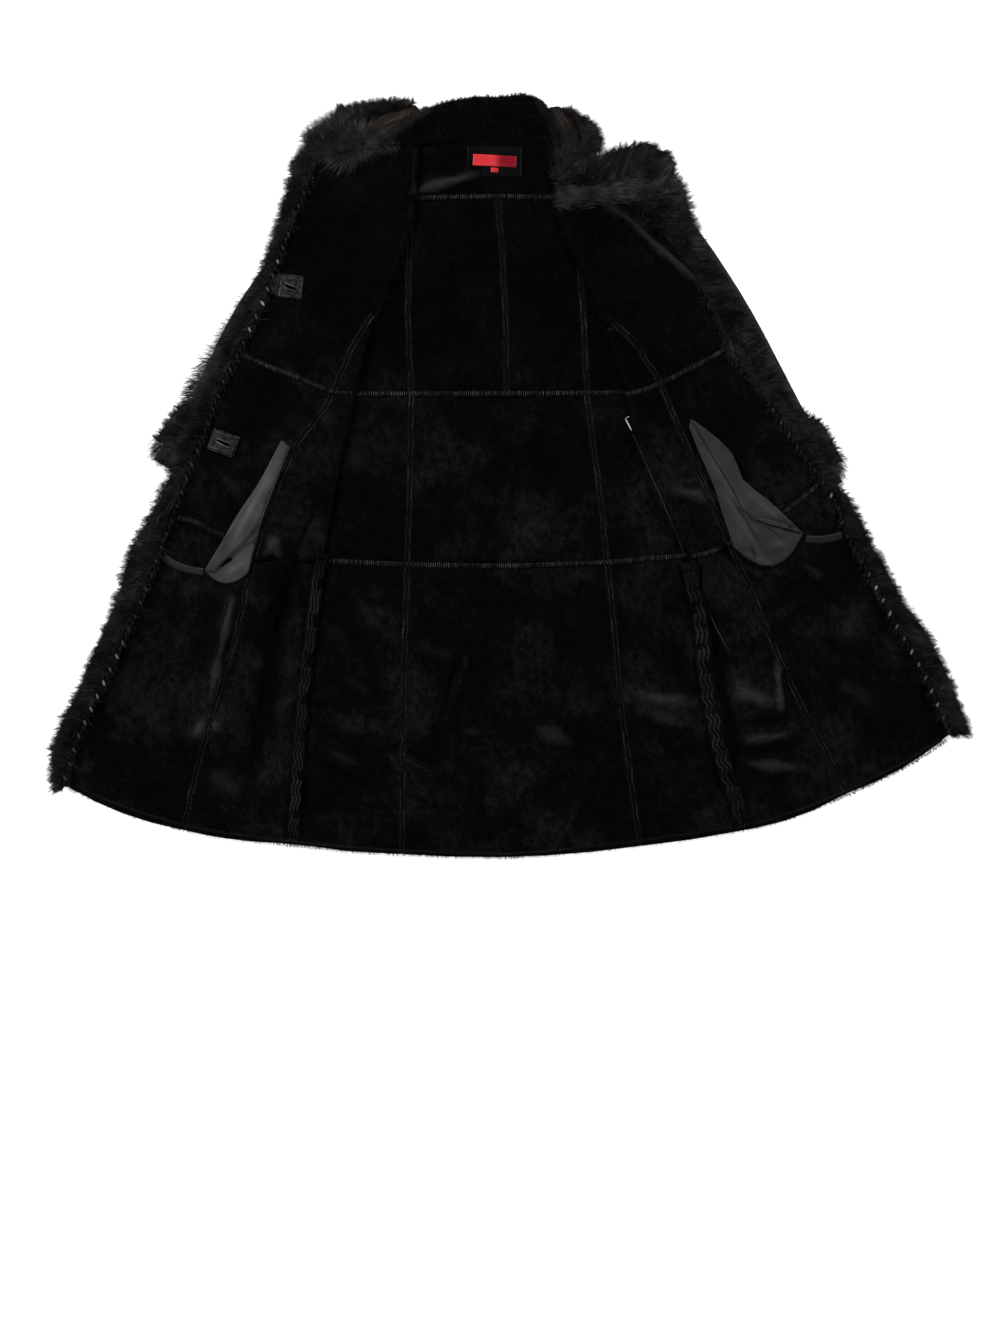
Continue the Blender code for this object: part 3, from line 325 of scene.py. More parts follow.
def relief(x, y):
    """Height in mm that the creases and the loose lie of the cloth add at each point."""
    height = ridges(x, y)
    for tall, often in (LUMP_LARGE, LUMP_SMALL):
        height += tall * rough(x, y, MM * often, MM * often, often)
    return height


def finer(node, cell=CELL, rounds=SMOOTHING, spread=lambda x, y: SPREAD):
    """A CAD solid's form in small faces, with the facets of its upper side smoothed away and its
    rim spread a little, so that the cloth closes up at its seams."""
    made = bmesh.new()
    made.from_mesh(frame["nodes"][node].data)
    bmesh.ops.remove_doubles(made, verts=made.verts, dist=1e-6)
    bmesh.ops.join_triangles(
        made, faces=made.faces, angle_face_threshold=0.7, angle_shape_threshold=1.2
    )
    for _ in range(6):
        long = [edge for edge in made.edges if edge.calc_length() > cell]
        if not long:
            break
        bmesh.ops.subdivide_edges(made, edges=long, cuts=1, use_grid_fill=True)
    bmesh.ops.triangulate(made, faces=[f for f in made.faces if len(f.verts) > 4])
    made.normal_update()
    top = [v for v in made.verts if min(f.normal.z for f in v.link_faces) > LEVEL]
    for _ in range(rounds):
        bmesh.ops.smooth_vert(
            made, verts=top, factor=0.5, use_axis_x=True, use_axis_y=True, use_axis_z=True
        )
    made.normal_update()
    for vert in [v for v in made.verts if v.normal.xy.length > 0.3]:
        out = Vector((*vert.normal.xy, 0)).normalized()
        vert.co += out * spread(vert.co.x / MM, vert.co.y / MM) * MM
    return made


def raise_top(made, height, crests=None):
    """Moves the upper side of a shape up by height(x, y), in mm. The heights of its crests, or all
    of these heights, are kept as an attribute for the material, which paints painted highlights and painted
    shade from them."""
    made.normal_update()
    crest = made.verts.layers.float.new("crest")
    top = [v for v in made.verts if v.normal.z > 0.3]
    x, y = np.array([v.co.x / MM for v in top]), np.array([v.co.y / MM for v in top])
    lift = height(x, y)
    for vert, up, high in zip(top, lift, crests(x, y) if crests else lift):
        vert.co.z += up * MM
        vert[crest] = high


def add_piece(name, mesh, look, nodes=()):
    """Makes a mesh a piece that rides on the coat."""
    mesh.materials.append(look.material)
    piece = bpy.data.objects.new(name, mesh)
    bpy.context.scene.collection.objects.link(piece)
    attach(piece, "root")
    if nodes:
        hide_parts(*nodes)
    return piece


def show(name, made, look, nodes=()):
    """Turns a shape into a piece."""
    mesh = bpy.data.meshes.new(name)
    made.to_mesh(mesh)
    made.free()
    mesh.polygons.foreach_set("use_smooth", [True] * len(mesh.polygons))
    return add_piece(name, mesh, look, nodes)


def show_sheet(node, made, look, ending="_cloth"):
    """Shows a shape in place of its CAD solid."""
    piece = show(node + ending, made, look, [node])
    return piece


def painted_sheen_and_shade(look):
    """Where the nap is brushed the other way, painted lighter as painted sheen, from 0 to 1. Towards the
    top it is painted darker, as painted shade.
    """
    # painted shade, darker towards the top
    painted_shade = look.ramp(look.along(1), -0.10, 0.30, 1.0, 0.35)
    broad = look.ramp(look.noise(7.5, 5.0, 0.66, distort=0.5), 0.42, 0.66)
    narrow = look.ramp(look.noise(105.0, 8.0, 0.78, (1, 0.7, 1), 12.0, 0.3), 0.38, 0.70)
    return (broad * 0.85 + 0.2) * (narrow * 0.85 + 0.18) * painted_shade


def pile_look(name, dark, light, turn=4.0):
    """Short dense pile with fine streaks along its nap, and painted sheen in brushed patches. Crests are
    painted lighter as painted highlights, and troughs darker as painted shade.
    """
    look = Look(name, {"Specular IOR Level": 0.015})
    share = painted_sheen_and_shade(look)
    crest = look.attribute("crest")
    grain = look.noise(120.0, 4.0, 0.65)
    # painted highlight on the crests, and below it painted shade in the troughs
    painted_crest_highlight = look.ramp(crest, 0.8, 6.5) * (grain * 0.9 + 0.25)
    sunk = look.ramp(crest, -3.0, -0.2, 0.12, 1.0)
    streaks = look.noise(380.0, 2.0, 0.6, (0.35, 1, 1), turn, 0.4)
    fine = look.noise(1000.0, 1.0, 0.5, (0.5, 1, 1), turn)
    share = share * sunk * 0.36 + look.ramp(streaks, 0.35, 0.75) * 0.02 + painted_crest_highlight
    look.tint(share, dark, light)
    look.feed("Roughness", 0.48 - share * 0.1)
    look.bump(streaks * 0.35 + fine * 0.2 + share * 2.0, 0.6, 0.0012)
    return look


pile = pile_look("pile_black", (0.0001, 0.0001, 0.0001), (0.0165, 0.0142, 0.0152))
panels = {}
for name, flat in PANELS.items():
    shape = finer(name)
    raise_top(shape, relief, ridges)
    panels[name] = show_sheet(name, shape, pile)

# ---------------------------------------------------------------------------------------------
# Sleeves: suede tubes that lie flat beneath the fronts, with their open ends past the cuffs. Each
# is sewn from a top and an under piece, suede side out.
# ---------------------------------------------------------------------------------------------

SLEEVE_WALL = 0.0016
SLEEVES = {
    # piece: flat width, flat length, flat area, what it lies on
    "sleeve_left": (0.334, 0.428, 0.1076, "floor"),
    "sleeve_end_left": (0.142, 0.048, 0.0054, "floor"),
    "sleeve_right": (0.300, 0.467, 0.1084, "floor"),
    "sleeve_end_right": (0.142, 0.052, 0.0060, "floor"),
}
MOUTHS = {"sleeve_end_left": (-0.62, -0.78), "sleeve_end_right": (0.62, -0.78)}  # where they face


def suede_look(name, dark, light):
    """Brushed suede: a dull short nap with finger marks."""
    look = Look(name, {"Specular IOR Level": 0.06, "Sheen Weight": 0.02, "Sheen Roughness": 0.5})
    marks = look.ramp(look.noise(26.0, 4.0, 0.6, distort=0.8), 0.35, 0.7)
    grain = look.noise(900.0, 3.0, 0.6)
    look.tint(marks * 0.7 + grain * 0.4, dark, light)
    look.feed("Roughness", 0.8 - marks * 0.15)
    look.bump(grain + marks * 0.4, 0.6, 0.0006)
    return look


def hollow(made, wall):
    """Makes a closed form into a thin shell, with an inner skin a wall's thickness in."""
    made.normal_update()
    inner = bmesh.ops.duplicate(made, geom=made.faces[:])["geom"]
    for vert in [v for v in inner if isinstance(v, bmesh.types.BMVert)]:
        vert.co -= vert.normal * wall
    bmesh.ops.reverse_faces(made, faces=[f for f in inner if isinstance(f, bmesh.types.BMFace)])
    rims = [edge for edge in made.edges if edge.is_boundary]
    if rims:
        bmesh.ops.bridge_loops(made, edges=rims)


suede = suede_look("suede_black", (0.0045, 0.0043, 0.0044), (0.0285, 0.0272, 0.0277))
for name, flat in SLEEVES.items():
    shape = finer(name, cell=0.012)
    raise_top(shape, lambda x, y: 0.7 * relief(x * 1.3 + 40, y * 1.3))
    if name in MOUTHS:
        way = Vector((*MOUTHS[name], 0))
        mouth = [f for f in shape.faces if f.normal.dot(way) > 0.75]
        bmesh.ops.delete(shape, geom=mouth, context="FACES")
    hollow(shape, SLEEVE_WALL)
    show_sheet(name, shape, suede)

# ---------------------------------------------------------------------------------------------
# Long fur: trims down both front edges, bands round the cuffs and the edge of the collar. Each
# is a strip of fur cloth, here a soft body with its locks of hair laid over it.
# ---------------------------------------------------------------------------------------------

FUR_SEAMS = {
    "left": [
        (-141, 493), (-215, 484), (-288, 477), (-307, 432), (-328, 376), (-348, 324), (-370, 264),
        (-408, 183), (-429, 144), (-463, 54), (-507, -61), (-528, -118), (-555, -189), (-585, -258),
        (-621, -331), (-648, -390), (-671, -462),
    ],
    "right": [
        (64, 438), (110, 432), (160, 422), (205, 388), (242, 340), (282, 283), (304, 236), (318, 189),
        (349, 156), (384, 106), (417, 54), (462, -9), (485, -43), (500, -88), (534, -148), (577, -228),
        (612, -288), (637, -343), (656, -386),
    ],
}
FURS = {
    # piece: its sheet as above, drawn in by mm, hairs, their length in mm
    "front_fur_left": ((0.088, 1.114, 0.0497, "sleeve_left"), 7.0, 24500, 34),
    "front_fur_right": ((0.161, 1.035, 0.0557, "sleeve_right"), 7.0, 25500, 34),
    "cuff_fur_left": ((0.154, 0.180, 0.0210, "floor"), 6.0, 7000, 30),
    "cuff_fur_right": ((0.164, 0.187, 0.0228, "floor"), 6.0, 7000, 30),
    "collar_fur_left": ((0.039, 0.101, 0.0031, "floor"), 3.0, 3400, 28),
    "collar_fur_right": ((0.040, 0.085, 0.0024, "floor"), 3.0, 3200, 28),
}
FUR_BODY = 0.62  # the body's height as a share of the solid's
RASTER = 0.002
CLUMP_HAIRS = 7  # in each lock
LOCK_TURN, HAIR_TURN = 0.42, 0.3  # how far they stray from the flow
LOCK_GROWTH, HAIR_GROWTH = (0.75, 1.15), (0.6, 1.1)
LOCK_LIFT = (1.0, 8.0)  # in mm
GATHER = 0.86  # how far a lock's hairs draw together at its tip
HAIR_STEPS = 3
HAIR_WIDTH, WIDTHS = 0.7, (0.6, 1.3)  # in mm, and the range of shares of it
LEAN = 0.9  # how far a blade turns about its length, either way
TIP_WIDTH = 0.12
ROOT_PAINTED_SHADE = 0.15  # a hair's tone at its root, as a share of its tone at its tip: painted shade down among the hairs
ARCH = math.pi * 0.8  # how far round a hair's rise and fall go
REACH = (-9.0, 10.0)  # how far the tips end from the solid's outline, in mm
STRAY_SHARE = 0.22  # of the hairs stand out past their lock
STRAY_REACH = (2, 9.0)
SHORTEST = 0.006
CUFF_DRAW = 1.0
CUT_CORNERS = {
    # cuffs whose upper corner is rounded off: its place, and how far
    "cuff_fur_left": (-494, 119, 22), "cuff_fur_right": (456, 96, 16),
}
SEAM_PAINTED_SHADE, SEAM_HOLLOW = 0.6, 15.0  # how much painted shade darkens the hair at the seam, and how wide
SEAM_COVER = 3.2  # how far the body is spread over its seam, in mm
COLLAR_COVER = 7.0  # and where it meets the collar
COLLAR_FOOT, COLLAR_REACH = 445, (-262, 125)


def fur_look(name, dark, light):
    """Long glossy hair: each lock has its own shade, and the hairs catch the light. The shade attribute
    also carries painted shade at roots and seams, and painted sheen and glints where it is set lighter.
    """
    look = Look(name, {"Specular IOR Level": 0.05})
    shade = look.attribute("shade")
    drift = look.ramp(look.noise(24.0, 4.0, 0.6), 0.35, 0.7)
    look.tint(shade * (drift * 0.9 + 0.35) + drift * 0.06, dark, light)
    look.feed("Roughness", 0.5 - shade * 0.12)
    return look


def scatter(piece, count, random, least=0.15):
    """Even random points on the upward faces of a piece, and the normals there."""
    mesh = piece.data
    mesh.calc_loop_triangles()
    points = np.zeros(len(mesh.vertices) * 3)
    mesh.vertices.foreach_get("co", points)
    corners = np.zeros(len(mesh.loop_triangles) * 3, int)
    mesh.loop_triangles.foreach_get("vertices", corners)
    a, b, c = points.reshape(-1, 3)[corners.reshape(-1, 3).T]
    normal = np.cross(b - a, c - a)
    size = np.linalg.norm(normal, axis=1)
    normal /= np.maximum(size, 1e-15)[:, None]
    weight = np.where(normal[:, 2] > least, size, 0.0)
    chosen = random.choice(len(size), count, p=weight / weight.sum())
    u, v = random.random(count), random.random(count)
    over = u + v > 1
    u, v = np.where(over, 1 - u, u)[:, None], np.where(over, 1 - v, v)[:, None]
    return a[chosen] + (b - a)[chosen] * u + (c - a)[chosen] * v, normal[chosen]


def unit(vectors):
    return vectors / np.maximum(np.linalg.norm(vectors, axis=-1, keepdims=True), 1e-12)


def level(ways):
    """Ways in x, y as level ones in x, y, z."""
    return np.column_stack([ways, np.zeros(len(ways))])


def turned(ways, angle):
    """Ways in x, y turned by an angle each."""
    x, y = ways.T
    return np.stack([x * np.cos(angle) - y * np.sin(angle), x * np.sin(angle) + y * np.cos(angle)], axis=1)


def fill_mesh(name, points, faces, shades):
    """One mesh from arrays: points (copies, corners, 3), and one copy's faces."""
    copies, corners, _ = points.shape
    loops = (np.array(faces)[None] + np.arange(copies)[:, None, None] * corners).reshape(-1)
    sides = len(faces[0])
    mesh = bpy.data.meshes.new(name)
    mesh.vertices.add(copies * corners)
    mesh.vertices.foreach_set("co", points.astype(np.float32).ravel())
    mesh.loops.add(len(loops))
    mesh.loops.foreach_set("vertex_index", loops.astype(np.int32))
    mesh.polygons.add(len(loops) // sides)
    mesh.polygons.foreach_set("loop_start", np.arange(0, len(loops), sides, dtype=np.int32))
    mesh.polygons.foreach_set("use_smooth", np.ones(len(loops) // sides, bool))
    mesh.update(calc_edges=True)
    shade = mesh.attributes.new("shade", "FLOAT", "POINT")
    tone = np.broadcast_to(shades.reshape(copies, -1), (copies, corners))
    shade.data.foreach_set("value", tone.astype(np.float32).ravel())
    return mesh


def strands(name, lines, widths, lean, shades, look):
    """Hairs as one mesh of flat blades that narrow to their tips. lines is (hairs, steps, 3)."""
    last = lines.shape[1] - 1
    blade = bmesh.new()
    bmesh.ops.create_grid(blade, x_segments=1, y_segments=last, size=0.5)
    blade.verts.index_update()
    across = np.array([math.copysign(0.5, v.co.x) for v in blade.verts])
    row = np.array([round((v.co.y + 0.5) * last) for v in blade.verts])
    faces = [[v.index for v in f.verts] for f in blade.faces]
    blade.free()
    way = unit(lines[:, -1] - lines[:, 0])
    flat = unit(np.cross(way, np.array([0.0, 0.0, 1.0])))
    side = flat * np.cos(lean)[:, None] + np.cross(flat, way) * np.sin(lean)[:, None]
    taper = 1 - (1 - TIP_WIDTH) * (row / last) ** 1.4
    offset = side[:, None] * (across * taper)[None, :, None] * widths[:, None, None]
    # hairs are painted darker towards their roots, as painted shade
    tone = shades[:, None] * (ROOT_PAINTED_SHADE + (1 - ROOT_PAINTED_SHADE) * row / last)
    return add_piece(name, fill_mesh(name, lines[:, row] + offset, faces, tone), look)


def reach_over(node, roots, way, steps):
    """How far each hair can go before it leaves a CAD solid, seen from above, in metres."""
    mesh = frame["nodes"][node].data
    solid = BVHTree.FromPolygons([v.co for v in mesh.vertices], [p.vertices for p in mesh.polygons])
    low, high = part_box(node)
    across = np.arange(low.x - RASTER, high.x + 2 * RASTER, RASTER)
    down = np.arange(low.y - RASTER, high.y + 2 * RASTER, RASTER)
    filled = np.array([
        [solid.ray_cast((x, y, 1.0), (0, 0, -1))[0] is not None for y in down] for x in across
    ])
    if node in CUT_CORNERS:
        x, y, cut = CUT_CORNERS[node]
        filled &= np.hypot(across[:, None] - x * MM, down[None] - y * MM) > cut * MM
    points = roots[:, None, :2] + way[:, None, :2] * steps[None, :, None]
    column, row = (
        np.clip(((points[..., i] - cells[0]) / RASTER).round().astype(int), 0, len(cells) - 1)
        for i, cells in enumerate((across, down))
    )
    over = filled[column, row]
    return np.where(over.all(axis=1), 1.0, steps[np.argmin(over, axis=1)])


def locks(node, body, count, long, seed, seam):
    """Locks of long hair over a fur body: each lock's hairs draw together towards one tip, and they
    are painted darker along the seam, as painted shade in its hollow."""
    random = np.random.default_rng(seed)
    roots, normal = scatter(body, count, random)
    centres = roots[random.choice(count, count // CLUMP_HAIRS, replace=False)]
    tree = kdtree.KDTree(len(centres))
    for index, centre in enumerate(centres):
        tree.insert(centre, index)
    tree.balance()
    own = np.array([tree.find(root)[1] for root in roots])
    turn = random.normal(0, LOCK_TURN, len(centres))
    flow = turned(unit(HAIR_WAYS[node](*(centres[:, :2].T / MM))), turn)
    way = unit(level(flow[own] + random.normal(0, HAIR_TURN, (count, 2))))
    grown = random.uniform(*LOCK_GROWTH, len(centres))
    length = long * MM * grown[own] * random.uniform(*HAIR_GROWTH, count)
    steps = np.arange(0, 1.4 * long * MM, RASTER)
    lock_reach = reach_over(node, centres, flow, steps)[own]
    reach = np.minimum(reach_over(node, roots, way, steps), lock_reach + 0.008)
    slack = random.uniform(*REACH, len(centres))[own] + random.normal(0, 2.6, count)
    stray = random.random(count) < STRAY_SHARE
    slack += np.where(stray, random.uniform(*STRAY_REACH, count), 0)
    length = np.minimum(length, np.maximum(reach + slack * MM, SHORTEST))[:, None, None]
    share = np.linspace(0, 1, HAIR_STEPS)[None, :, None]
    lift = (random.uniform(*LOCK_LIFT, len(centres))[own] + random.normal(0, 0.8, count)) * MM
    lines = roots[:, None] + way[:, None] * length * share
    lines[..., 2:] += lift[:, None, None] * np.sin(share * ARCH) * (0.4 + 0.6 * normal[:, None, 2:])
    lock = centres[own][:, None, :2] + flow[own][:, None] * length * share
    gather = np.where(stray, 0.2, GATHER)[:, None, None]
    lines[..., :2] += (lock - lines[..., :2]) * gather * share ** 1.6
    lines[..., 2] = np.maximum(lines[..., 2], 0.0012)
    shades = random.random(len(centres))[own] ** 3 * 0.9 + random.random(count) ** 3 * 0.35
    # painted shade in the hollow along the seam
    if "front" in node:
        far = beside(seam, *(roots[:, :2].T / MM))[1]
        shades = shades * (1 - SEAM_PAINTED_SHADE * np.exp(-((far / SEAM_HOLLOW) ** 2)))
    widths = HAIR_WIDTH * MM * random.uniform(*WIDTHS, count)
    lean = random.uniform(-LEAN, LEAN, count)
    strands(node + "_hair", lines, widths, lean, shades, fur)


def outward(line, along_share=0.45):
    """Hair direction: away from a sewn edge, and down along it."""
    corners = np.array(line, float)

    def way_at(x, y):
        best = np.full(len(x), 1e9)
        way = np.zeros((len(x), 2))
        for first, second in zip(corners[:-1], corners[1:]):
            step = second - first
            share = np.clip(((x - first[0]) * step[0] + (y - first[1]) * step[1]) / (step @ step), 0, 1)
            off = np.stack([x - first[0] - step[0] * share, y - first[1] - step[1] * share], axis=1)
            far = np.linalg.norm(off, axis=1)
            closer = far < best
            best = np.where(closer, far, best)
            flow = off / np.maximum(far, 2.0)[:, None] + step / np.linalg.norm(step) * along_share
            way = np.where(closer[:, None], flow, way)
        return way

    return way_at


def away_from(middle, drift):
    """Hair direction: out from a middle point, and on along drift."""
    return lambda x, y: np.stack([x - middle[0], y - middle[1]], axis=1) / 60.0 + np.array(drift)


HAIR_WAYS = {
    "front_fur_left": outward(FUR_SEAMS["left"]),
    "front_fur_right": outward(FUR_SEAMS["right"]),
    "cuff_fur_left": away_from((-480, 30), (-0.55, -0.1)),
    "cuff_fur_right": away_from((440, 30), (0.55, -0.15)),
    "collar_fur_left": away_from((-200, 500), (-0.2, 0.55)),
    "collar_fur_right": away_from((70, 500), (0.55, 0.2)),
}
fur = fur_look("fur_black", (0.0004, 0.0004, 0.0004), (0.0540, 0.0514, 0.0519))
for order, (name, (flat, draw, count, long)) in enumerate(FURS.items()):
    seam = FUR_SEAMS["left" if "left" in name else "right"]

    def draw_in(x, y):
        """How far a fur body's rim is spread: over its own seam, but back from its tips."""
        if "cuff" in name:
            corner_x, corner_y, cut = CUT_CORNERS[name]
            return -CUFF_DRAW - max(0.0, cut - 0.9 * math.hypot(x - corner_x, y - corner_y))
        if "front" not in name:
            return -draw
        if y > COLLAR_FOOT and COLLAR_REACH[0] < x < COLLAR_REACH[1]:
            return COLLAR_COVER
        return SEAM_COVER if abs(beside(seam, x, y)[1]) < 12 else -draw

    shape = finer(name, cell=0.010, rounds=4, spread=draw_in)
    low = min(v.co.z for v in shape.verts)
    for vert in shape.verts:
        vert.co.z = low + (vert.co.z - low) * FUR_BODY
    if "cuff" in name:
        hollow(shape, SLEEVE_WALL)
    body = show_sheet(name, shape, fur, ending="_body")
    locks(name, body, count, long, 31 + order, seam)

# ---------------------------------------------------------------------------------------------
# Collar: a band of shearling sewn to the neck. Its pile side stands up as a roll, and its suede
# side shows at both ends, where the collar's leaf is turned back.
# ---------------------------------------------------------------------------------------------

LEAVES = {
    # piece: its sheet as above, the way across it
    "collar_leaf_left": ((0.040, 0.106, 0.0036, "collar"), (-0.27, 0.96)),
    "collar_leaf_right": ((0.040, 0.102, 0.0036, "collar"), (0.93, 0.35)),
}
NECK_SEAM = [
    (-207, 488), (-168, 497), (-120, 506), (-55, 511), (12, 511), (44, 503), (59, 479), (66, 449),
]
NECK_COVER = 9.0  # how far the collar is spread over the neck seam, in mm
LEAF_COVER = 6.0
LEAF_RIB = 1.3  # in mm


def collar_spread(x, y):
    return NECK_COVER if abs(beside(NECK_SEAM, x, y)[1]) < 5 else SPREAD


shape = finer("collar", cell=0.006, spread=collar_spread)
raise_top(shape, lambda x, y: 0.6 * relief(x * 1.4, y * 1.4 + 90))
collar = show_sheet("collar", shape, pile)


def leaf_look(name, light, turn, painted_light_from):
    """Brownish suede, creased into fine streaks along the leaf, painted lighter towards its upper end as
    painted light, and darker below as painted shade.
    """
    look = Look(name, {"Specular IOR Level": 0.06})
    streaks = look.ramp(look.noise(330.0, 3.0, 0.6, (0.07, 1, 1), turn), 0.40, 0.62)
    marks = look.noise(60.0, 4.0, 0.6)
    # painted light on the upper end, painted shade below it
    painted_light = look.ramp(look.along(1), painted_light_from, painted_light_from + 0.03, 0.12, 1.0)
    look.tint((streaks * 0.75 + marks * 0.35) * painted_light, (0.0014, 0.0011, 0.0010), light)
    look.feed("Roughness", 0.75 - streaks * 0.15)
    look.bump(streaks + marks * 0.3, 0.6, 0.0012)
    return look


LEAF_LOOKS = {
    "collar_leaf_left": leaf_look("suede_leaf_left", (0.0175, 0.0128, 0.0097), 22.0, 0.47),
    "collar_leaf_right": leaf_look("suede_leaf_right", (0.0170, 0.0122, 0.0092), 112.0, 0.510),
}
for name, (flat, way) in LEAVES.items():
    def ribbed(x, y):
        ribs = np.sin((way[0] * x + way[1] * y) / LEAF_RIB)
        return 0.6 * relief(x * 2.2, y * 2.2) + 0.7 * ribs

    shape = finer(name, cell=0.004, spread=lambda x, y: LEAF_COVER)
    raise_top(shape, ribbed)
    show_sheet(name, shape, LEAF_LOOKS[name])

# ---------------------------------------------------------------------------------------------
# Side-seam bands: the seam allowances below the hip, left wide in the same shearling. They lap
# over the side seams down to the hem, and are frilled in waves.
# ---------------------------------------------------------------------------------------------

LAPS = {
    "side_lap_left": {
        "line": [(-284, -118), (-292, -160), (-301, -231), (-315, -351), (-322, -448), (-329, -549)],
        "sheet": (0.027, 0.425, 0.0073, "floor"), "half": 8.5,
    },
    "side_lap_right": {
        "line": [(262, -130), (282, -216), (292, -321), (315, -426), (349, -526)],
        "sheet": (0.039, 0.401, 0.0090, "floor"), "half": 11.0,
    },
}
band = pile_look("pile_band", (0.0002, 0.0002, 0.0002), (0.0080, 0.0070, 0.0075))
for name, lap in LAPS.items():
    shape = finer(name, cell=0.005, rounds=3)
    lap["piece"] = show_sheet(name, shape, band)

# ---------------------------------------------------------------------------------------------
# Seams: seams down the body are pressed open, so the pile parts into two low welts. The cross
# seams are overlocked, and their thread shows as short strokes. At the neck the allowances are
# turned down, and the fur is laced on with a thong.
# ---------------------------------------------------------------------------------------------

SEAMS = {
    # seam: the pieces that it is in, whether it is overlocked, its line
    "back_left": ("back", False, [
        (-153, 414), (-156, 234), (-151, 123), (-153, -6), (-157, -133), (-162, -306), (-165, -566),
    ]),
    "back_right": ("back", False, [
        (97, 414), (108, 219), (112, 124), (123, 39), (135, -51), (142, -130), (153, -223), (162, -328),
        (178, -456), (192, -554),
    ]),
    "centre_back": ("back", False, [(-21, 416), (-14, 324), (-9, 219), (-8, 126)]),
    "yoke": ("back", True, [(-245, 406), (-144, 416.5), (-21, 419.5), (76, 416.5)]),
    "waist_back": ("back", True, [(-250, 123), (-151, 123), (-8, 123.5), (112, 124), (226, 126)]),
    "hip_back": ("back", True, [(-283, -127), (-157, -133), (-8, -135), (142, -130), (262, -119)]),
    "princess_left": ("left", False, [
        (-187, 271), (-219, 225), (-243, 184), (-267, 124), (-285, 91), (-318, 54), (-340, 9),
        (-360, -43), (-375, -88), (-387, -126), (-399, -178), (-414, -246), (-435, -309), (-456, -381),
        (-474, -448), (-493, -530),
    ]),
    "princess_right": ("right", False, [
        (132, 241), (159, 223), (186, 196), (222, 138), (241, 91), (261, 46), (289, -21), (312, -73),
        (325, -101), (345, -144), (367, -193), (393, -258), (427, -331), (462, -396), (501, -475),
    ]),
    "waist_left": ("left", True, [
        (-406, 183), (-370, 165), (-333, 152), (-300, 138), (-267, 124), (-237, 123),
    ]),
    "waist_right": ("right", True, [(172, 121), (198, 128), (222, 138), (268, 160), (318, 188)]),
    "hip_left": ("left", True, [(-505, -62), (-475, -68), (-447, -84), (-420, -94)]),
    "hip_right": ("right", True, [(270, -121), (300, -114), (325, -101), (412, -52), (462, -10)]),
}
WELT_HALF = 6.0
WELT_TALL = 2.0
OVERLOCK_HALF = 0.8 * WELT_HALF
OVERLOCK_PITCH = 3.3
SEAM_WANDER = 2.4  # how far a seam strays from its line, in mm
NECK_ALLOWANCES = {
    "left": [(-262, 484), (-238, 487), (-214, 490), (-190, 493), (-166, 497)],
    "right": [(52, 508), (60, 488), (67, 468), (72, 450), (76, 430)],
}
random = np.random.default_rng(7)


def spaced(line, spacing):
    """Points every so many mm along a line, and their lengths along it."""
    corners = np.array(line, float)
    run = np.concatenate([[0], np.cumsum(np.linalg.norm(np.diff(corners, axis=0), axis=1))])
    length = np.arange(0, run[-1], spacing)
    return np.stack([np.interp(length, run, corners[:, i]) for i in range(2)], axis=1), length


def walk(line, spacing):
    """Points every so many mm along a line whose corners are softened, and the way at each."""
    spots, length = spaced(line, spacing)
    blur = max(1, int(22 / spacing)) | 1
    padded = np.pad(spots, ((blur // 2, blur // 2), (0, 0)), mode="reflect", reflect_type="odd")
    kernel = np.ones(blur) / blur
    spots = np.stack([np.convolve(padded[:, i], kernel, "valid") for i in range(2)], axis=1)
    return spots, unit(np.gradient(spots, axis=0)), length


def left_of(ways):
    return np.stack([-ways[:, 1], ways[:, 0]], axis=1)


def at_height(spots, height):
    """Points in metres, from x, y in mm and heights in metres."""
    return np.column_stack([spots * MM, height])


def ground_of(pieces):
    """A function for the height of the upper sides of some pieces, in metres, at x, y in mm."""
    made = bmesh.new()
    for piece in pieces:
        made.from_mesh(piece.data)
    tree = BVHTree.FromBMesh(made)
    made.free()

    def height(x, y, missing=0.005):
        hits = [tree.ray_cast((a * MM, b * MM, 1.0), (0, 0, -1))[0] for a, b in zip(x, y)]
        return np.array([missing if hit is None else hit.z for hit in hits])

    return height


def ribbon(name, line, size, ground, profile, look, stray=0.0):
    """A narrow strip of relief laid along a line: profile(share across, length in mm) is its height."""
    half, spacing, columns = size
    spots, ways, length = walk(line, spacing)
    across = left_of(ways)
    swing = np.array([noise.noise(Vector((run * 0.045, line[0][0], 0))) for run in length])
    spots = spots + across * (stray * swing)[:, None]
    rims = [ground(*(spots + across * half * side).T) for side in (-1, 1)]
    last = len(spots) - 1
    made = bmesh.new()
    bmesh.ops.create_grid(made, x_segments=columns, y_segments=last, size=0.5)
    shade = made.verts.layers.float.new("shade")
    for vert in made.verts:
        row = round((vert.co.y + 0.5) * last)
        share = vert.co.x * 2
        spot = spots[row] + across[row] * half * share
        rim = rims[0][row] * (1 - share) / 2 + rims[1][row] * (1 + share) / 2
        height = profile(share, length[row])
        # the height is kept for the material, which paints painted highlights on the ridges
        vert[shade] = height
        vert.co = (*(spot * MM), rim + height * MM)
    bmesh.ops.recalc_face_normals(made, faces=made.faces)
    made.normal_update()
    if sum(f.normal.z for f in made.faces) < 0:
        bmesh.ops.reverse_faces(made, faces=made.faces)
    return show(name, made, look)


def nap_look(name, dark, light):
    """Single tufts of the pile, with the painted sheen and painted shade of the nap beneath them."""
    look = Look(name, {"Specular IOR Level": 0.02, "Roughness": 0.5})
    look.tint(look.attribute("shade") * (painted_sheen_and_shade(look) + 0.12), dark, light)
    return look


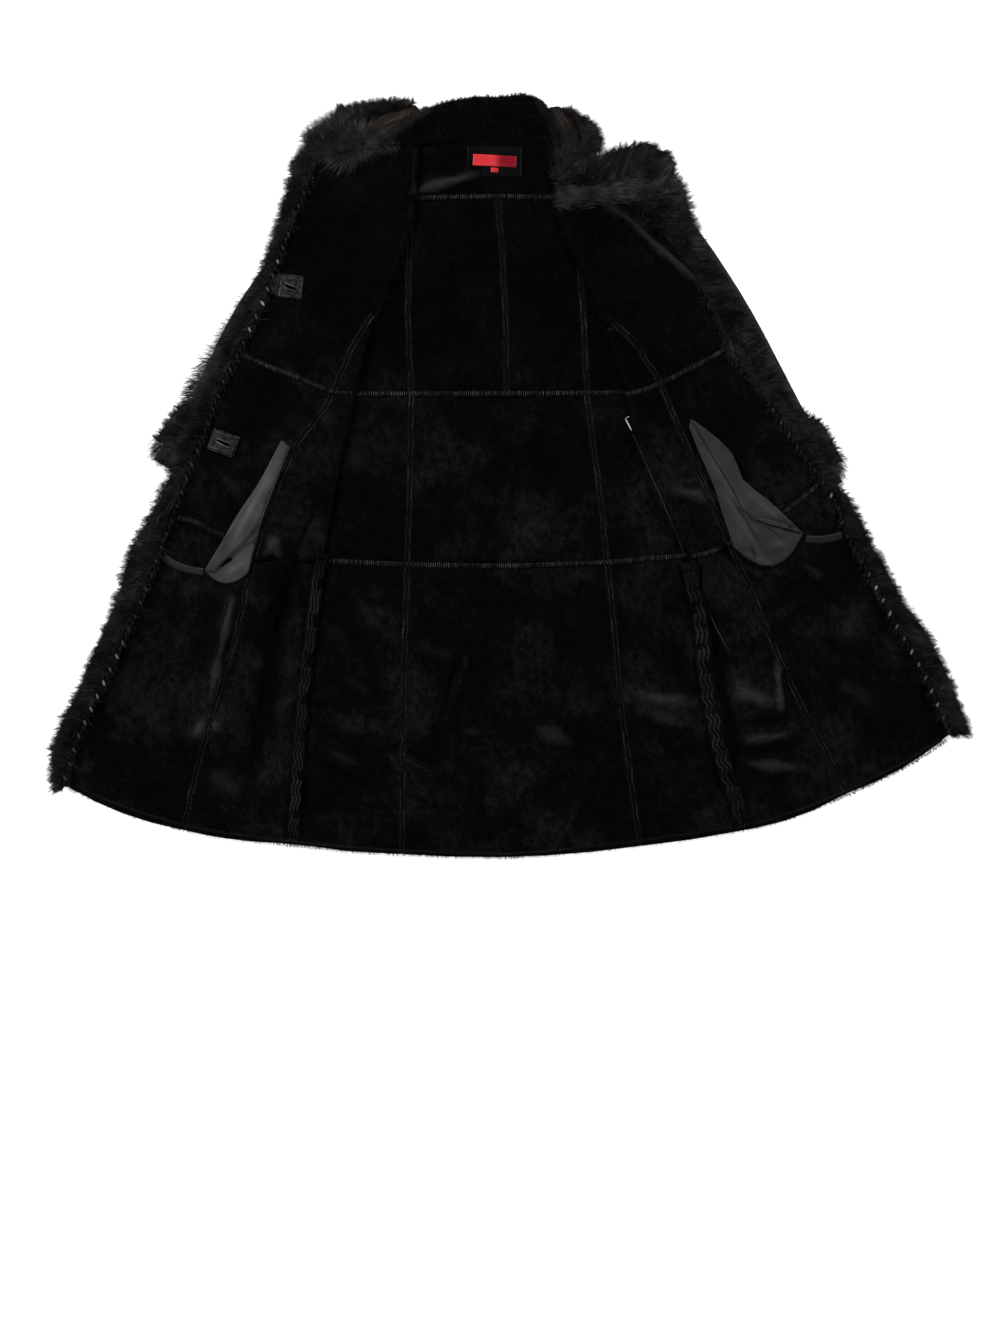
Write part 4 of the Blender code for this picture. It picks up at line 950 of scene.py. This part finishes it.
def ridge_look(name, dark, light, low=0.3, high=2.2):
    """Pile at a seam: painted lighter on the ridges as painted highlight, and darker in the grooves as
    painted shade. Reads the ribbon's height.
    """
    look = Look(name, {"Specular IOR Level": 0.03, "Roughness": 0.55})
    rise = look.ramp(look.attribute("shade"), low, high)
    grain = look.ramp(look.noise(420.0, 2.0), 0.3, 0.7)
    drift = look.ramp(look.noise(14.0, 4.0), 0.3, 0.68)
    share = rise * (grain * 0.6 + 0.4) * (drift * 0.7 + 0.3)
    # towards the top it is painted darker still, as painted shade
    look.tint(share * look.ramp(look.along(1), 0.20, 0.40, 1.0, 0.4), dark, light)
    look.bump(grain, 0.6, 0.0007)
    return look


def bump_at(share, middle, half):
    """A smooth bump, 1 high, at a share of the way across."""
    return math.exp(-(((share - middle) / half) ** 2))


def past(share, edge):
    """From 0 at an edge on either side of a strip to 1 at its rim."""
    return max(0, abs(share) - edge) / (1 - edge)


def fuzz(a, b, layer):
    return noise.noise(Vector((a, b, layer)))


def welt(share, length):
    """Two soft ridges with the parted line between them, their edges sunk in the pile."""
    swell = 0.55 + 0.9 * fuzz(length * 0.035, 4 if share > 0 else 9, 1)
    sides = WELT_TALL * swell * bump_at(abs(share), 0.46, 0.24) + 0.9 * fuzz(length * 0.4, share * 3, 1)
    return sides - 1.1 * bump_at(share, 0, 0.14) - 1.3 * past(share, 0.75)


def rolled(share, length):
    """One low ridge, as of an overlocked seam turned to one side."""
    return 1.5 * (1 - share * share) + 0.5 * fuzz(length * 0.3, share, 5) - 1.2 * past(share, 0.75)


def copies(name, origins, across, upward, along, shades, look, slot):
    """Beads as one mesh: each is a small round body stretched over its three axes."""
    made = bmesh.new()
    bmesh.ops.create_uvsphere(made, u_segments=6, v_segments=5, radius=0.5)
    bmesh.ops.triangulate(made, faces=made.faces)
    made.verts.index_update()
    points = np.array([v.co for v in made.verts])
    faces = [[v.index for v in f.verts] for f in made.faces]
    made.free()
    axes = np.stack([across, upward, along], axis=1)
    beads = origins[:, None] + np.einsum("pi,nij->npj", points, axes)
    return add_piece(name, fill_mesh(name, beads, faces, shades), look)


def strokes(name, spots, ways, size, turn, ground, look, slot, shades=None):
    """Stitches that cross a line at an angle, lying on the cloth. Size: length, width, height."""
    count = len(spots)
    length, width, height = np.array(size) * MM
    flat = turned(ways, math.radians(turn) + random.normal(0, 0.1, count))
    along = level(flat) * length * random.uniform(0.85, 1.12, (count, 1))
    across = level(-left_of(flat)) * width
    upward = np.tile([0, 0, height], (count, 1))
    origins = at_height(spots, ground(*spots.T) + 0.4 * height)
    shades = random.random(count) if shades is None else shades
    return copies(name, origins, across, upward, along, shades, look, slot)


def bristles(name, roots, ways, size, look, tone=None):
    """Short pile hairs. Size in mm: how long and wide, how far they rise and drop again."""
    count = len(roots)
    long, width, lift, drop = np.array(size) * MM
    share = np.linspace(0, 1, 3)[None, :, None]
    length = (long * random.uniform(0.6, 1.2, count))[:, None, None]
    lines = roots[:, None] + level(ways)[:, None] * length * share
    rise = (lift * random.uniform(0.5, 1.3, count))[:, None, None]
    lines[..., 2:] += rise * np.sin(share * math.pi * 0.75) - drop * share**2
    lines[..., 2] = np.maximum(lines[..., 2], 0.0006)
    lean = random.uniform(-0.8, 0.8, count)
    widths = width * random.uniform(*WIDTHS, count)
    return strands(name, lines, widths, lean, random.random(count) if tone is None else tone, look)


def ground_of_fronts(side):
    return ground_of([p for n, p in panels.items() if n.startswith("front") and side in n])


grounds = {
    "back": ground_of([p for n, p in panels.items() if n.startswith("back")]),
    "left": ground_of_fronts("_left"),
    "right": ground_of_fronts("_right"),
    "all": ground_of([*panels.values(), collar]),
}
seam_pile = ridge_look("pile_at_seams", (0.0002, 0.0002, 0.0002), (0.0250, 0.0221, 0.0234))
seam_dark = ridge_look("pile_under_thread", (0.0003, 0.00028, 0.0003), (0.0040, 0.0036, 0.0038))
seam_hair = fur_look("pile_seam_hair", (0.0004, 0.0004, 0.0004), (0.0150, 0.0135, 0.0142))
thread = fur_look("thread_black", (0.0030, 0.0027, 0.0028), (0.0480, 0.0430, 0.0445))
for side, line in NECK_ALLOWANCES.items():
    ribbon(
        f"neck_allowance_{side}", line, (12.0, 4.0, 8), grounds["all"], lambda u, s: -3.0 * u * u,
        seam_dark,
    )
tuft_roots, tuft_ways = [], []
for name, (group, overlocked, line) in SEAMS.items():
    ground = grounds[group]
    if overlocked:
        size, profile, look, pitch = (OVERLOCK_HALF, 3.2, 8), rolled, seam_dark, OVERLOCK_PITCH
    else:
        size, profile, look, pitch = (WELT_HALF, 3.2, 8), welt, seam_pile, 1.5
    # the seams' ridges are painted lighter as painted highlight, their grooves darker as painted shade
    ribbon(f"seam_{name}", line, size, ground, profile, look, SEAM_WANDER)
    spots, ways, _ = walk(line, pitch)
    if overlocked:
        strokes(
            f"thread_{name}", spots, ways, (7.6, 1.35, 1.7), 84, lambda x, y: ground(x, y) + 0.0022,
            thread, "pile",
        )
    out = left_of(ways) * random.choice([-1.0, 1.0], len(spots))[:, None]
    place = spots + out * random.uniform(0.5, 3.2, (len(spots), 1))
    tuft_ways.append(unit(out + ways * random.normal(0.2, 0.4, (len(spots), 1))))
    tuft_roots.append(at_height(place, ground(*place.T) + 0.0008))
bristles(
    "seam_tufts", np.concatenate(tuft_roots), np.concatenate(tuft_ways), (5.0, 0.7, 2.2, 0.6), seam_hair
)

WAVE_LENGTH = 26.0
WAVE_SWING = 0.24
WAVE_GROWTH = 260.0  # the waves swing wider down to here
WAVE_LINES = (-0.62, 0.0, 0.62)
WAVE_START = 90.0  # the front's fold lies over the band down to here, where the lower crests are also painted darker, as painted shade
FOLD_EDGES = {
    # of the right front, over the side seam
    "upper": [(181, 62), (198, 22), (224, -36), (244, -84), (260, -120)],
    "lower": [(262, -136), (286, -186), (308, -232), (327, -266)],
}


def waves(share, length):
    """Ridges side by side along a band, all swinging together."""
    wild = 0.3 + 0.7 * min(1, length / WAVE_GROWTH)
    swing = WAVE_SWING * wild * math.sin(2 * math.pi * length / WAVE_LENGTH + 0.8 * math.sin(length / 41))
    crests = sum(bump_at(share - swing, line, 0.14) for line in WAVE_LINES)
    # lower crests here also read darker: painted shade under the fold
    crests *= min(1, 0.25 + length / WAVE_START)
    return 1.9 * crests * (1 + 0.3 * math.sin(length / 5.3)) + 0.3 - 1.5 * past(share, 0.9)


def fold_edge(share, length):
    return 2.4 * bump_at(share, 0, 0.45) - 1.2 * abs(share)


# the fold's edge is painted lighter, as painted highlight
for place, line in FOLD_EDGES.items():
    ribbon(f"front_fold_{place}", line, (3.0, 3.0, 6), grounds["right"], fold_edge, seam_pile)
# the waves' crests are painted lighter, as painted highlight
lap_pile = ridge_look("pile_at_laps", (0.0002, 0.0002, 0.0002), (0.0160, 0.0144, 0.0151))
for name, lap in LAPS.items():
    ribbon(f"{name}_waves", lap["line"], (lap["half"], 2.0, 17), ground_of([lap["piece"]]), waves, lap_pile)

THONG_PITCH = 22.0
THONGS = {
    # side: the seam's first corner with a thong, its slant, where its loops are painted with glints: y in
    # mm, and reach
    "left": (3, 24, [(255, 70), (-325, 55)]),
    "right": (9, -24, [(-250, 95), (-38, 14)]),
}
thong = Look("thong_black", {"Specular IOR Level": 0.06, "Roughness": 0.45})
thong.tint(thong.noise(140.0), (0.0003, 0.0003, 0.0003), (0.004, 0.004, 0.0038))
thong.bump(thong.noise(500.0), 0.3, 0.0005)
# light loops: painted glints on the lace
glinting_thong = fur_look("thong_painted_glint", (0.001, 0.001, 0.001), (0.22, 0.213, 0.205))
for side, (first, turn, glint_at) in THONGS.items():
    spots, ways, _ = walk(FUR_SEAMS[side][first:], THONG_PITCH)
    below = [panels[f"front_{side}_{band}"] for band in ("upper", "middle", "lower")]
    ground = ground_of([*below, bpy.data.objects[f"front_fur_{side}_body"]])

    def raised(x, y):
        return ground(x, y) + 0.0030

    strokes(f"thong_{side}", spots, ways, (12.0, 2.6, 2.6), turn, raised, thong, "leather")
    loops = spots + ways * THONG_PITCH / 2
    # painted glints: the loops here are painted light, like highlights on the shiny lace
    wear_and_glint = sum(np.exp(-(((loops[:, 1] - middle) / reach) ** 2)) for middle, reach in glint_at)
    wear_and_glint = np.clip(wear_and_glint, 0.03, 1) * random.uniform(0.2, 1.0, len(loops)) ** 2
    strokes(
        f"thong_loops_{side}", loops, ways, (8.5, 4.0, 3.4), turn * 2, raised, glinting_thong, "leather", wear_and_glint
    )

# ---------------------------------------------------------------------------------------------
# Loose hair: where the fur meets the collar, the lapel's fold and the sleeve ends, its longest
# hairs fall across the join. They belong to the fur cloth beneath.
# ---------------------------------------------------------------------------------------------

LOOSE_HAIR = {
    # place: from, to, scatter, the hairs' ways in degrees, hairs, length in mm, shades
    "collar_corner": ((-246, 487), (-222, 492), 5, (20, 235), 1500, 44, (0.4, 1.0)),
    "trim_crest": ((-292, 498), (-248, 522), 9, (110, 200), 1100, 32, (0.3, 1.0)),
    "front_corner": ((-284, 483), (-214, 490), 4, (200, 340), 800, 15, (0.2, 0.8)),
    "neck_left": ((-224, 489), (-176, 497), 4, (190, 350), 700, 11, (0.1, 0.5)),
    "neck_right": ((70, 470), (104, 458), 6, (-10, 110), 1000, 20, (0.0, 0.4)),
    "notch": ((100, 472), (122, 500), 6, (-20, 80), 1200, 17, (0.0, 0.25)),
    # the lapel's hairs are set light, as painted sheen on its fold
    "lapel": ((72, 416), (196, 430), 6, (-8, 14), 1800, 28, (0.5, 1.0)),
    "lapel_end": ((66, 406), (70, 426), 4, (-20, 20), 500, 22, (0.6, 1.0)),
    "neck_foot": ((62, 452), (73, 436), 4, (-30, 60), 700, 14, (0.1, 0.5)),
    "cuff_gap_left": ((-484, 106), (-466, 96), 5, (120, 200), 700, 14, (0.1, 0.6)),
    "cuff_gap_right": ((426, 88), (444, 68), 5, (10, 80), 1000, 15, (0.1, 0.6)),
    "sleeve_end_left": ((-527, 48), (-500, 28), 7, (205, 250), 700, 24, (0.1, 0.8)),
    "sleeve_end_right": ((470, 4), (486, 18), 6, (-70, -35), 500, 22, (0.1, 0.8)),
    "sleeve_edge_left": ((-376, 268), (-478, 112), 9, (150, 225), 2600, 24, (0.3, 1.0)),
}


def loose_hair(name, start, end, stray, turns, count, long, tones):
    """Long hairs that lie over whatever is below them, fanned out from a short line."""
    share = np.linspace(0, 1, HAIR_STEPS)[None]
    first = random.random((count, 1))
    roots = np.array(start) * (1 - first) + np.array(end) * first + random.normal(0, stray, (count, 2))
    turn = np.radians(random.uniform(*turns, count))[:, None]
    along = long * random.uniform(0.5, 1.15, count)[:, None] * share
    bend = random.normal(0, 0.2, count)[:, None] * along * share
    x = roots[:, :1] + np.cos(turn) * along - np.sin(turn) * bend
    y = roots[:, 1:] + np.sin(turn) * along + np.cos(turn) * bend
    lift = random.uniform(1.0, 5.0, count)[:, None] * np.sin(share * ARCH) + 0.6
    ground = over_all(x.ravel(), y.ravel(), 0.003).reshape(x.shape)
    lines = np.stack([x * MM, y * MM, ground + lift * MM], axis=2)
    widths = HAIR_WIDTH * MM * random.uniform(*WIDTHS, count)
    lean = random.uniform(-LEAN, LEAN, count)
    strands(f"loose_{name}", lines, widths, lean, random.uniform(*tones, count), fur)


over_all = ground_of([p for p in bpy.data.objects if p.name.endswith(("_cloth", "_body"))])
for name, row in LOOSE_HAIR.items():
    loose_hair(name, *row)

# ---------------------------------------------------------------------------------------------
# Hem and pile: the hem is turned under, and the pile stands out there and at the collar's rolled
# edge. All over the panels single tufts of it stand up from the nap.
# ---------------------------------------------------------------------------------------------

HEM = [
    (-664, -468), (-618, -490), (-558, -512), (-493, -530), (-438, -540), (-382, -548), (-328, -554),
    (-243, -562), (-165, -567), (-78, -571), (0, -572), (72, -566), (132, -560), (192, -553),
    (282, -540), (350, -530), (394, -521), (452, -500), (501, -480), (552, -456), (600, -432),
    (652, -398),
]
ROLLED_EDGE = [
    (-214, 497), (-180, 514), (-150, 536), (-112, 555), (-63, 566), (-18, 567),
    (16, 570), (38, 565), (55, 545), (70, 511), (79, 486), (87, 462),
]
COLLAR_ROLLS = [
    # the roll's two shoulders: how light their painted sheen is, and where
    (0.9, [(-207, 489), (-180, 508), (-150, 532), (-124, 549)]),
    (0.45, [(38, 560), (57, 525), (70, 484), (80, 455)]),
]
PILE_TUFTS = {
    # group: how many, and its pieces
    "back": (12000, [n for n in panels if n.startswith("back")]),
    "front_left": (6500, [n for n in panels if n.startswith("front_left")]),
    "front_right": (6500, [n for n in panels if n.startswith("front_right")]),
    "front_side": (5500, [n for n in panels if n.startswith("front_side")]),
}
COLLAR_TUFTS = 3600


def hem_roll(share, length):
    groove = 0.9 * bump_at(-share, -0.35, 0.18)
    return 1.1 * bump_at(-share, 0.35, 0.3) - groove + 0.25 * fuzz(length * 0.3, -share, 2)


def fringe(name, line, spacing, side, depth, heights, size, look):
    """Pile that stands out to one side of an edge, rooted up to a depth inside it."""
    spots, ways, _ = walk(line, spacing)
    count = len(spots)
    out = side * left_of(ways)
    place = spots - out * random.uniform(*depth, (count, 1))
    lean = unit(out + ways * random.normal(0, 0.5, (count, 1)))
    bristles(name, at_height(place, random.uniform(*heights, count)), lean, size, look)


hair_pile = nap_look("pile_hair", (0.0001, 0.0001, 0.0001), (0.0120, 0.0102, 0.0111))
inner_hem = [(x * 0.988, y + 7.5) for x, y in HEM]
# the hem's roll is painted lighter on its ridge and darker in its groove, as painted highlight and painted
# shade
ribbon("hem_roll", inner_hem, (6.5, 3.2, 8), grounds["all"], hem_roll, seam_pile)
fringe("hem_fringe", HEM, 0.55, -1, (0.5, 6.0), (0.0015, 0.005), (6.5, 1.0, 0.8, 2.0), hair_pile)
for name, (count, members) in PILE_TUFTS.items():
    members = [panels[n] for n in members]
    sizes = np.array([sum(f.area for f in p.data.polygons) for p in members])
    counts = (count * sizes / sizes.sum()).astype(int)
    roots = np.concatenate([scatter(p, n, random, 0.4)[0] for p, n in zip(members, counts)])
    x, y = roots[:, 0], roots[:, 1]
    nap = -math.pi / 2 + 0.55 * np.sin(17 * x + 9 * y + 1) + 0.45 * np.sin(31 * y - 12 * x)
    nap += random.normal(0, 0.35, len(x))
    tone = random.random(len(x)) ** 3
    # tufts on the crests are painted lighter, as painted highlight
    tone += 2.0 * np.clip(ridges(x / MM, y / MM) / 6, 0, 1) * random.random(len(x))
    ways = np.stack([np.cos(nap), np.sin(nap)], axis=1)
    bristles(f"pile_{name}", roots - [0, 0, 0.0006], ways, (7.5, 0.9, 1.1, 0.2), hair_pile, tone)
roots, _ = scatter(collar, COLLAR_TUFTS, random, 0.1)
ways = unit(np.stack([random.normal(0, 0.45, len(roots)), np.ones(len(roots))], axis=1))
bristles("pile_collar", roots, ways, (8.0, 0.8, 1.2, 1.2), hair_pile)
for number, (shade, line) in enumerate(COLLAR_ROLLS):
    spots, ways, _ = walk(line, 0.06)
    across = left_of(ways)
    place = spots + across * random.normal(0, 3.2, (len(spots), 1))
    lean = unit(across + ways * random.normal(0, 0.7, (len(spots), 1)))
    # the tone carries the roll's painted sheen
    tone = (random.random(len(spots)) + 0.3) * shade
    roots = at_height(place, over_all(*place.T))
    bristles(f"collar_roll_{number}", roots, lean, (6.0, 0.8, 1.6, 1.0), seam_hair, tone)
fringe(
    "collar_fringe", ROLLED_EDGE, 0.35, 1, (0.0, 5.0), (0.006, 0.013), (6.5, 0.8, 1.0, 3.0), seam_hair
)

# ---------------------------------------------------------------------------------------------
# Pocket bags: charcoal cotton twill, sewn behind the pocket slits and pulled out over the pile,
# each with a folded lobe and a tape that holds it to the seam.
# ---------------------------------------------------------------------------------------------

BAGS = {
    # piece: as the panels
    "pocket_bag_left": (0.056, 0.227, 0.0076, "front_left_middle"),
    "pocket_lobe_left": (0.033, 0.224, 0.0045, "pocket_bag_left"),
    "pocket_bag_right": (0.090, 0.249, 0.0133, "front_right_middle"),
    "pocket_lobe_right": (0.042, 0.234, 0.0045, "pocket_bag_right"),
}
TAPES = {
    "pocket_tape_left": (0.014, 0.064, 0.0006, "front_left_lower"),
    "pocket_tape_right": (0.012, 0.056, 0.0005, "front_right_lower"),
}
BAG_CREASES = [
    # as the ridges
    (-350, 20, -420, -110, 3.2, 5),
    (-352, -20, -372, -110, 3.4, 5),
    (-372, -92, -446, -141, -2.4, 4),
    (-430, -150, -400, -130, 2.0, 5),
    (-345, -40, -356, -118, -2.6, 4),
    (290, 40, 345, -62, 4.2, 6),
    (312, -20, 378, -128, 4.6, 6),
    (313, -11, 382, -126, -4.6, 3),
    (349, -65, 412, -101, -3.6, 3),
    (358, -106, 367, -136, -3.0, 3),
    (338, -115, 389, -135, 2.6, 4),
    (355, -60, 430, -82, -3.4, 4),
    (345, -20, 400, -70, 3.0, 6),
    (380, -110, 420, -100, 2.6, 6),
    (352, -132, 398, -140, 1.8, 5),
]


def bag_relief(x, y):
    return creases(BAG_CREASES, x, y, trim=0.06) + 0.9 * rough(x, y, 0.045, 0.03, 7)


def tape_relief(x, y):
    return 0.35 * np.sin(x / 5.0) + 0.25 * np.sin(x / 2.1 + y / 3.0)


def twill_look(name, dark, light):
    """Cotton twill: fine slanting ribs and lighter patches of wear. Crease crests are painted lighter as
    painted highlights, and folds darker as painted shade.
    """
    look = Look(name, {"Specular IOR Level": 0.10})
    ribs = look.rows("X", 260.0, 0.6, turn=52, detail=1.0)
    wear_and_glint = look.ramp(look.noise(24.0, 4.0, 0.6), 0.3, 0.75)
    threads = look.noise(1500.0, 2.0, 0.6)
    # painted highlight on the crease crests, painted shade in the folds
    crest = look.ramp(look.attribute("crest"), -3.2, 3.6)
    look.tint(wear_and_glint * 0.35 + ribs * 0.2 + threads * 0.15 + crest * 0.8 - 0.16, dark, light)
    look.feed("Roughness", 0.72 - wear_and_glint * 0.1)
    look.bump(ribs * 0.8 + threads * 0.4, 0.5, 0.0004)
    return look


twills = {
    "left": twill_look("twill_charcoal", (0.0030, 0.0028, 0.0029), (0.0460, 0.0425, 0.0435)),
    # the right bag's copy is painted darker, as painted shade
    "right": twill_look("twill_charcoal_shaded", (0.0030, 0.0028, 0.0029), (0.0225, 0.0208, 0.0214)),
}
for name, flat in BAGS.items():
    shape = finer(name, cell=0.004, rounds=4)
    raise_top(shape, bag_relief)
    show_sheet(name, shape, twills[name.rsplit("_", 1)[1]])
tape = Look("tape_black", {"Specular IOR Level": 0.12, "Roughness": 0.6})
rows = tape.rows("X", 330.0, 0.3)
tape.tint(rows, (0.0025, 0.0025, 0.0025), (0.0075, 0.0075, 0.0075))
tape.bump(rows, 0.6, 0.0005)
for name, flat in TAPES.items():
    shape = finer(name, cell=0.003, rounds=2)
    raise_top(shape, tape_relief)
    show_sheet(name, shape, tape)

# ---------------------------------------------------------------------------------------------
# Buttonhole facings: squares of dark leather sewn over the pile behind each buttonhole, with
# waxed thread round the edge and along the slit. The upper one reaches round the fur's seam.
# ---------------------------------------------------------------------------------------------

FACINGS = {
    # piece: what it lies on, and in mm and degrees its middle, size and turn, and its slit's
    "buttonhole_upper": ("front_left_upper", (-331, 281), (38, 33), -6, 19, -17),
    "buttonhole_lower": ("front_left_middle", (-431, 48), (39, 31), -20, 19, -18),
}
STITCH_PITCH = 3.6
STITCH_INSET = 7  # from one edge to the other, in mm
LIP_OFF = 2.9  # from the slit's middle, in mm
leather = Look("leather_dark", {"Specular IOR Level": 0.10})
pores = leather.node(
    "ShaderNodeTexVoronoi", {"feature": "DISTANCE_TO_EDGE"},
    {"Vector": leather.place(), "Scale": 420.0},
)
wrinkle = leather.noise(110.0, 4.0, 0.6, distort=1.0)
leather.tint(leather.ramp(wrinkle, 0.42, 0.62), (0.0006, 0.0007, 0.0006), (0.0130, 0.0140, 0.0122))
leather.feed("Roughness", 0.34 + wrinkle * 0.25)
leather.bump(leather.ramp(pores, 0.0, 0.12) * 0.3 + wrinkle, 0.6, 0.0010)
# painted shade: a black body standing in for the dark opening of the slit
slit_painted_shade = Look("slit_painted_shade", {"Base Color": (0.0002, 0.0002, 0.0002, 1), "Specular IOR Level": 0.0})
slit_painted_shade.feed("Roughness", slit_painted_shade.noise(300.0) * 0.2 + 0.7)
facing_thread = fur_look("thread_waxed", (0.010, 0.0105, 0.0095), (0.085, 0.088, 0.080))


def way_of(degrees):
    return np.array([math.cos(math.radians(degrees)), math.sin(math.radians(degrees))])


def stitch_round(name, border, size, ground, look, slot):
    """Stitches in a row round a closed border."""
    spots, _ = spaced(border, STITCH_PITCH)
    strokes(name, spots, unit(np.gradient(spots, axis=0)), size, 0, ground, look, slot)


for name, (under, middle, size, turn, slit_long, slit_turn) in FACINGS.items():
    shape = finer(name, cell=0.0022, rounds=2)
    raise_top(shape, lambda x, y: 0.5 * rough(x, y, 0.13, 0.13, 3))
    piece = show_sheet(name, shape, leather, ending="_leather")
    top = ground_of([piece])
    way, slit = way_of(turn), way_of(slit_turn)[None]
    up = np.array([-way[1], way[0]])
    wide, tall = (side - STITCH_INSET for side in size)
    corners = [(-0.5, -0.5), (0.5, -0.5), (0.5, 0.5), (-0.5, 0.5), (-0.5, -0.5)]
    border = [middle + way * a * wide + up * b * tall for a, b in corners]
    stitch_round(f"{name}_stitches", border, (3.2, 1.8, 1.3), top, facing_thread, "leather")
    for end, side in (("lower", -1), ("upper", 1)):
        lip = middle + side * LIP_OFF * left_of(slit)
        lip_size = (slit_long * 1.2, 3.0, 1.6)
        strokes(f"{name}_lip_{end}", lip, slit, lip_size, 0, top, facing_thread, "leather")
    spot = np.array([middle], float)
    strokes(f"{name}_slit", spot, slit, (slit_long * 1.05, 4.6, 4.0), 0, top, slit_painted_shade, "leather")
edge = ground_of([panels["front_left_upper"], bpy.data.objects["front_fur_left_body"]])
strokes(
    "buttonhole_upper_end", np.array([[-356.0, 285.0]]), np.array([[0.1, 1.0]]), (36, 21, 4.5), 0, edge,
    leather, "leather",
)

# ---------------------------------------------------------------------------------------------
# Neck and care labels: a black satin patch stitched round its edge, a plain red label sewn on it
# with a size tab, and a care label in the side seam. That one stands on edge, so that its white
# selvedges show.
# ---------------------------------------------------------------------------------------------

TILT = (-0.030, -0.014)  # between these x, in metres, the red label leans out of the light


def woven_look(name, first, second, scale, gloss, tilt=None):
    """Close satin weave: fine rows, with a soft shine. Past tilt, in x, it lies in the shade."""
    look = Look(name, {"Specular IOR Level": gloss, "Anisotropic": 0.4})
    rows = look.rows("Y", scale, 0.4)
    drift = look.noise(60.0, 3.0)
    colour = look.mix(rows * 0.3 + drift * 0.7, (*first, 1), (*second, 1))
    if tilt:
        painted_shade = (first[0] * 0.45, first[1] * 0.2, first[2] * 0.5, 1)
        colour = look.mix(look.ramp(look.along(0), *tilt), colour, painted_shade)
    look.feed("Base Color", colour)
    look.feed("Roughness", 0.5 - drift * 0.2)
    look.bump(rows * 0.5 + drift * 0.3, 0.4, 0.0003)
    return look


satin = woven_look("satin_black", (0.0006, 0.0006, 0.0007), (0.0026, 0.0026, 0.0027), 300.0, 0.04)
red = woven_look("satin_red", (0.27, 0.008, 0.014), (0.50, 0.028, 0.034), 380.0, 0.2, TILT)
care = woven_look("care_cloth", (0.0010, 0.0010, 0.0010), (0.0040, 0.0040, 0.0040), 380.0, 0.03)
white = woven_look("care_white", (0.40, 0.39, 0.38), (0.62, 0.61, 0.59), 380.0, 0.1)
LABELS = {
    # piece: its look and slot, its sheet as above, size of its faces
    "neck_patch": (satin, "satin", (0.046, 0.082, 0.00377, "back_yoke"), 0.003),
    "neck_label": (red, "label_red", (0.017, 0.065, 0.0011, "neck_patch"), 0.0025),
    "size_tab": (red, "label_red", (0.0105, 0.011, 0.0001, "neck_patch"), 0.002),
    "care_label": (care, "care", (0.0105, 0.024, 0.00014, "front_side_right_middle"), 0.003),
}
CARE_EDGES = {
    # edge: from, to, width in mm
    "long": ((169.8, 84.6), (182.0, 64.4), 2.2),
    "short": ((169.8, 85.5), (177.9, 90.5), 1.2),
}
PATCH_STITCHES = [(-66, 494), (4, 492), (5, 450), (-67, 452), (-66, 494)]
shown = {}
for name, (look, slot, flat, cell) in LABELS.items():
    shape = finer(name, cell=cell, rounds=1, spread=lambda x, y: 0.0)
    raise_top(shape, lambda x, y: 0.35 * np.sin(x / 7.0) + 0.2 * np.sin(y / 4.0))
    shown[name] = show_sheet(name, shape, look)
above = ground_of([shown["care_label"]])
for edge, (start, end, width) in CARE_EDGES.items():
    start, end = np.array([start]), np.array([end])
    size = (math.dist(start[0], end[0]), width, 1.6)
    strokes(f"care_edge_{edge}", (start + end) / 2, unit(end - start), size, 0, above, white, "care")
top = ground_of([shown["neck_patch"]])
patch_thread = fur_look("thread_satin", (0.0008, 0.0008, 0.0008), (0.0080, 0.0080, 0.0080))
stitch_round("patch_stitches", PATCH_STITCHES, (2.6, 0.9, 0.9), top, patch_thread, "satin")

# ---------------------------------------------------------------------------------------------
# Lights and camera: softboxes round a white table, and the camera straight above it.
# ---------------------------------------------------------------------------------------------

CENTRE = (-0.018, -0.28575)  # the photograph's middle on the table
CAMERA_HEIGHT = 5.0
AIM = Vector((0, -0.05, 0))
SOFTBOXES = [
    # place, size, watts
    ((-3.6, 2.5, 2.4), 1.6, 400),
    ((2.7, 1.6, 1.9), 1.3, 150),
    ((-2.2, -2.9, 1.9), 1.3, 62),
    ((2.0, -2.9, 1.9), 1.3, 32),
]
for number, (spot, size, watts) in enumerate(SOFTBOXES):
    lamp = bpy.data.lights.new(f"softbox_{number}", "AREA")
    lamp.shape = "SQUARE"
    lamp.size = size
    lamp.energy = watts
    light = bpy.data.objects.new(f"softbox_{number}", lamp)
    light.location = spot
    light.rotation_euler = (AIM - Vector(spot)).to_track_quat("-Z", "Y").to_euler()
    bpy.context.scene.collection.objects.link(light)
world = bpy.data.worlds.new("studio")
world.use_nodes = True
world.node_tree.nodes["Background"].inputs["Color"].default_value = (1, 1, 1, 1)
world.node_tree.nodes["Background"].inputs["Strength"].default_value = 0.10
bpy.context.scene.world = world
bpy.context.scene.view_settings.view_transform = "Standard"
view = bpy.data.cameras.new("camera")
view.lens = 90.0
view.sensor_width = 36.0
camera = bpy.data.objects.new("camera", view)
camera.location = (*CENTRE, CAMERA_HEIGHT)
bpy.context.scene.collection.objects.link(camera)
bpy.context.scene.camera = camera
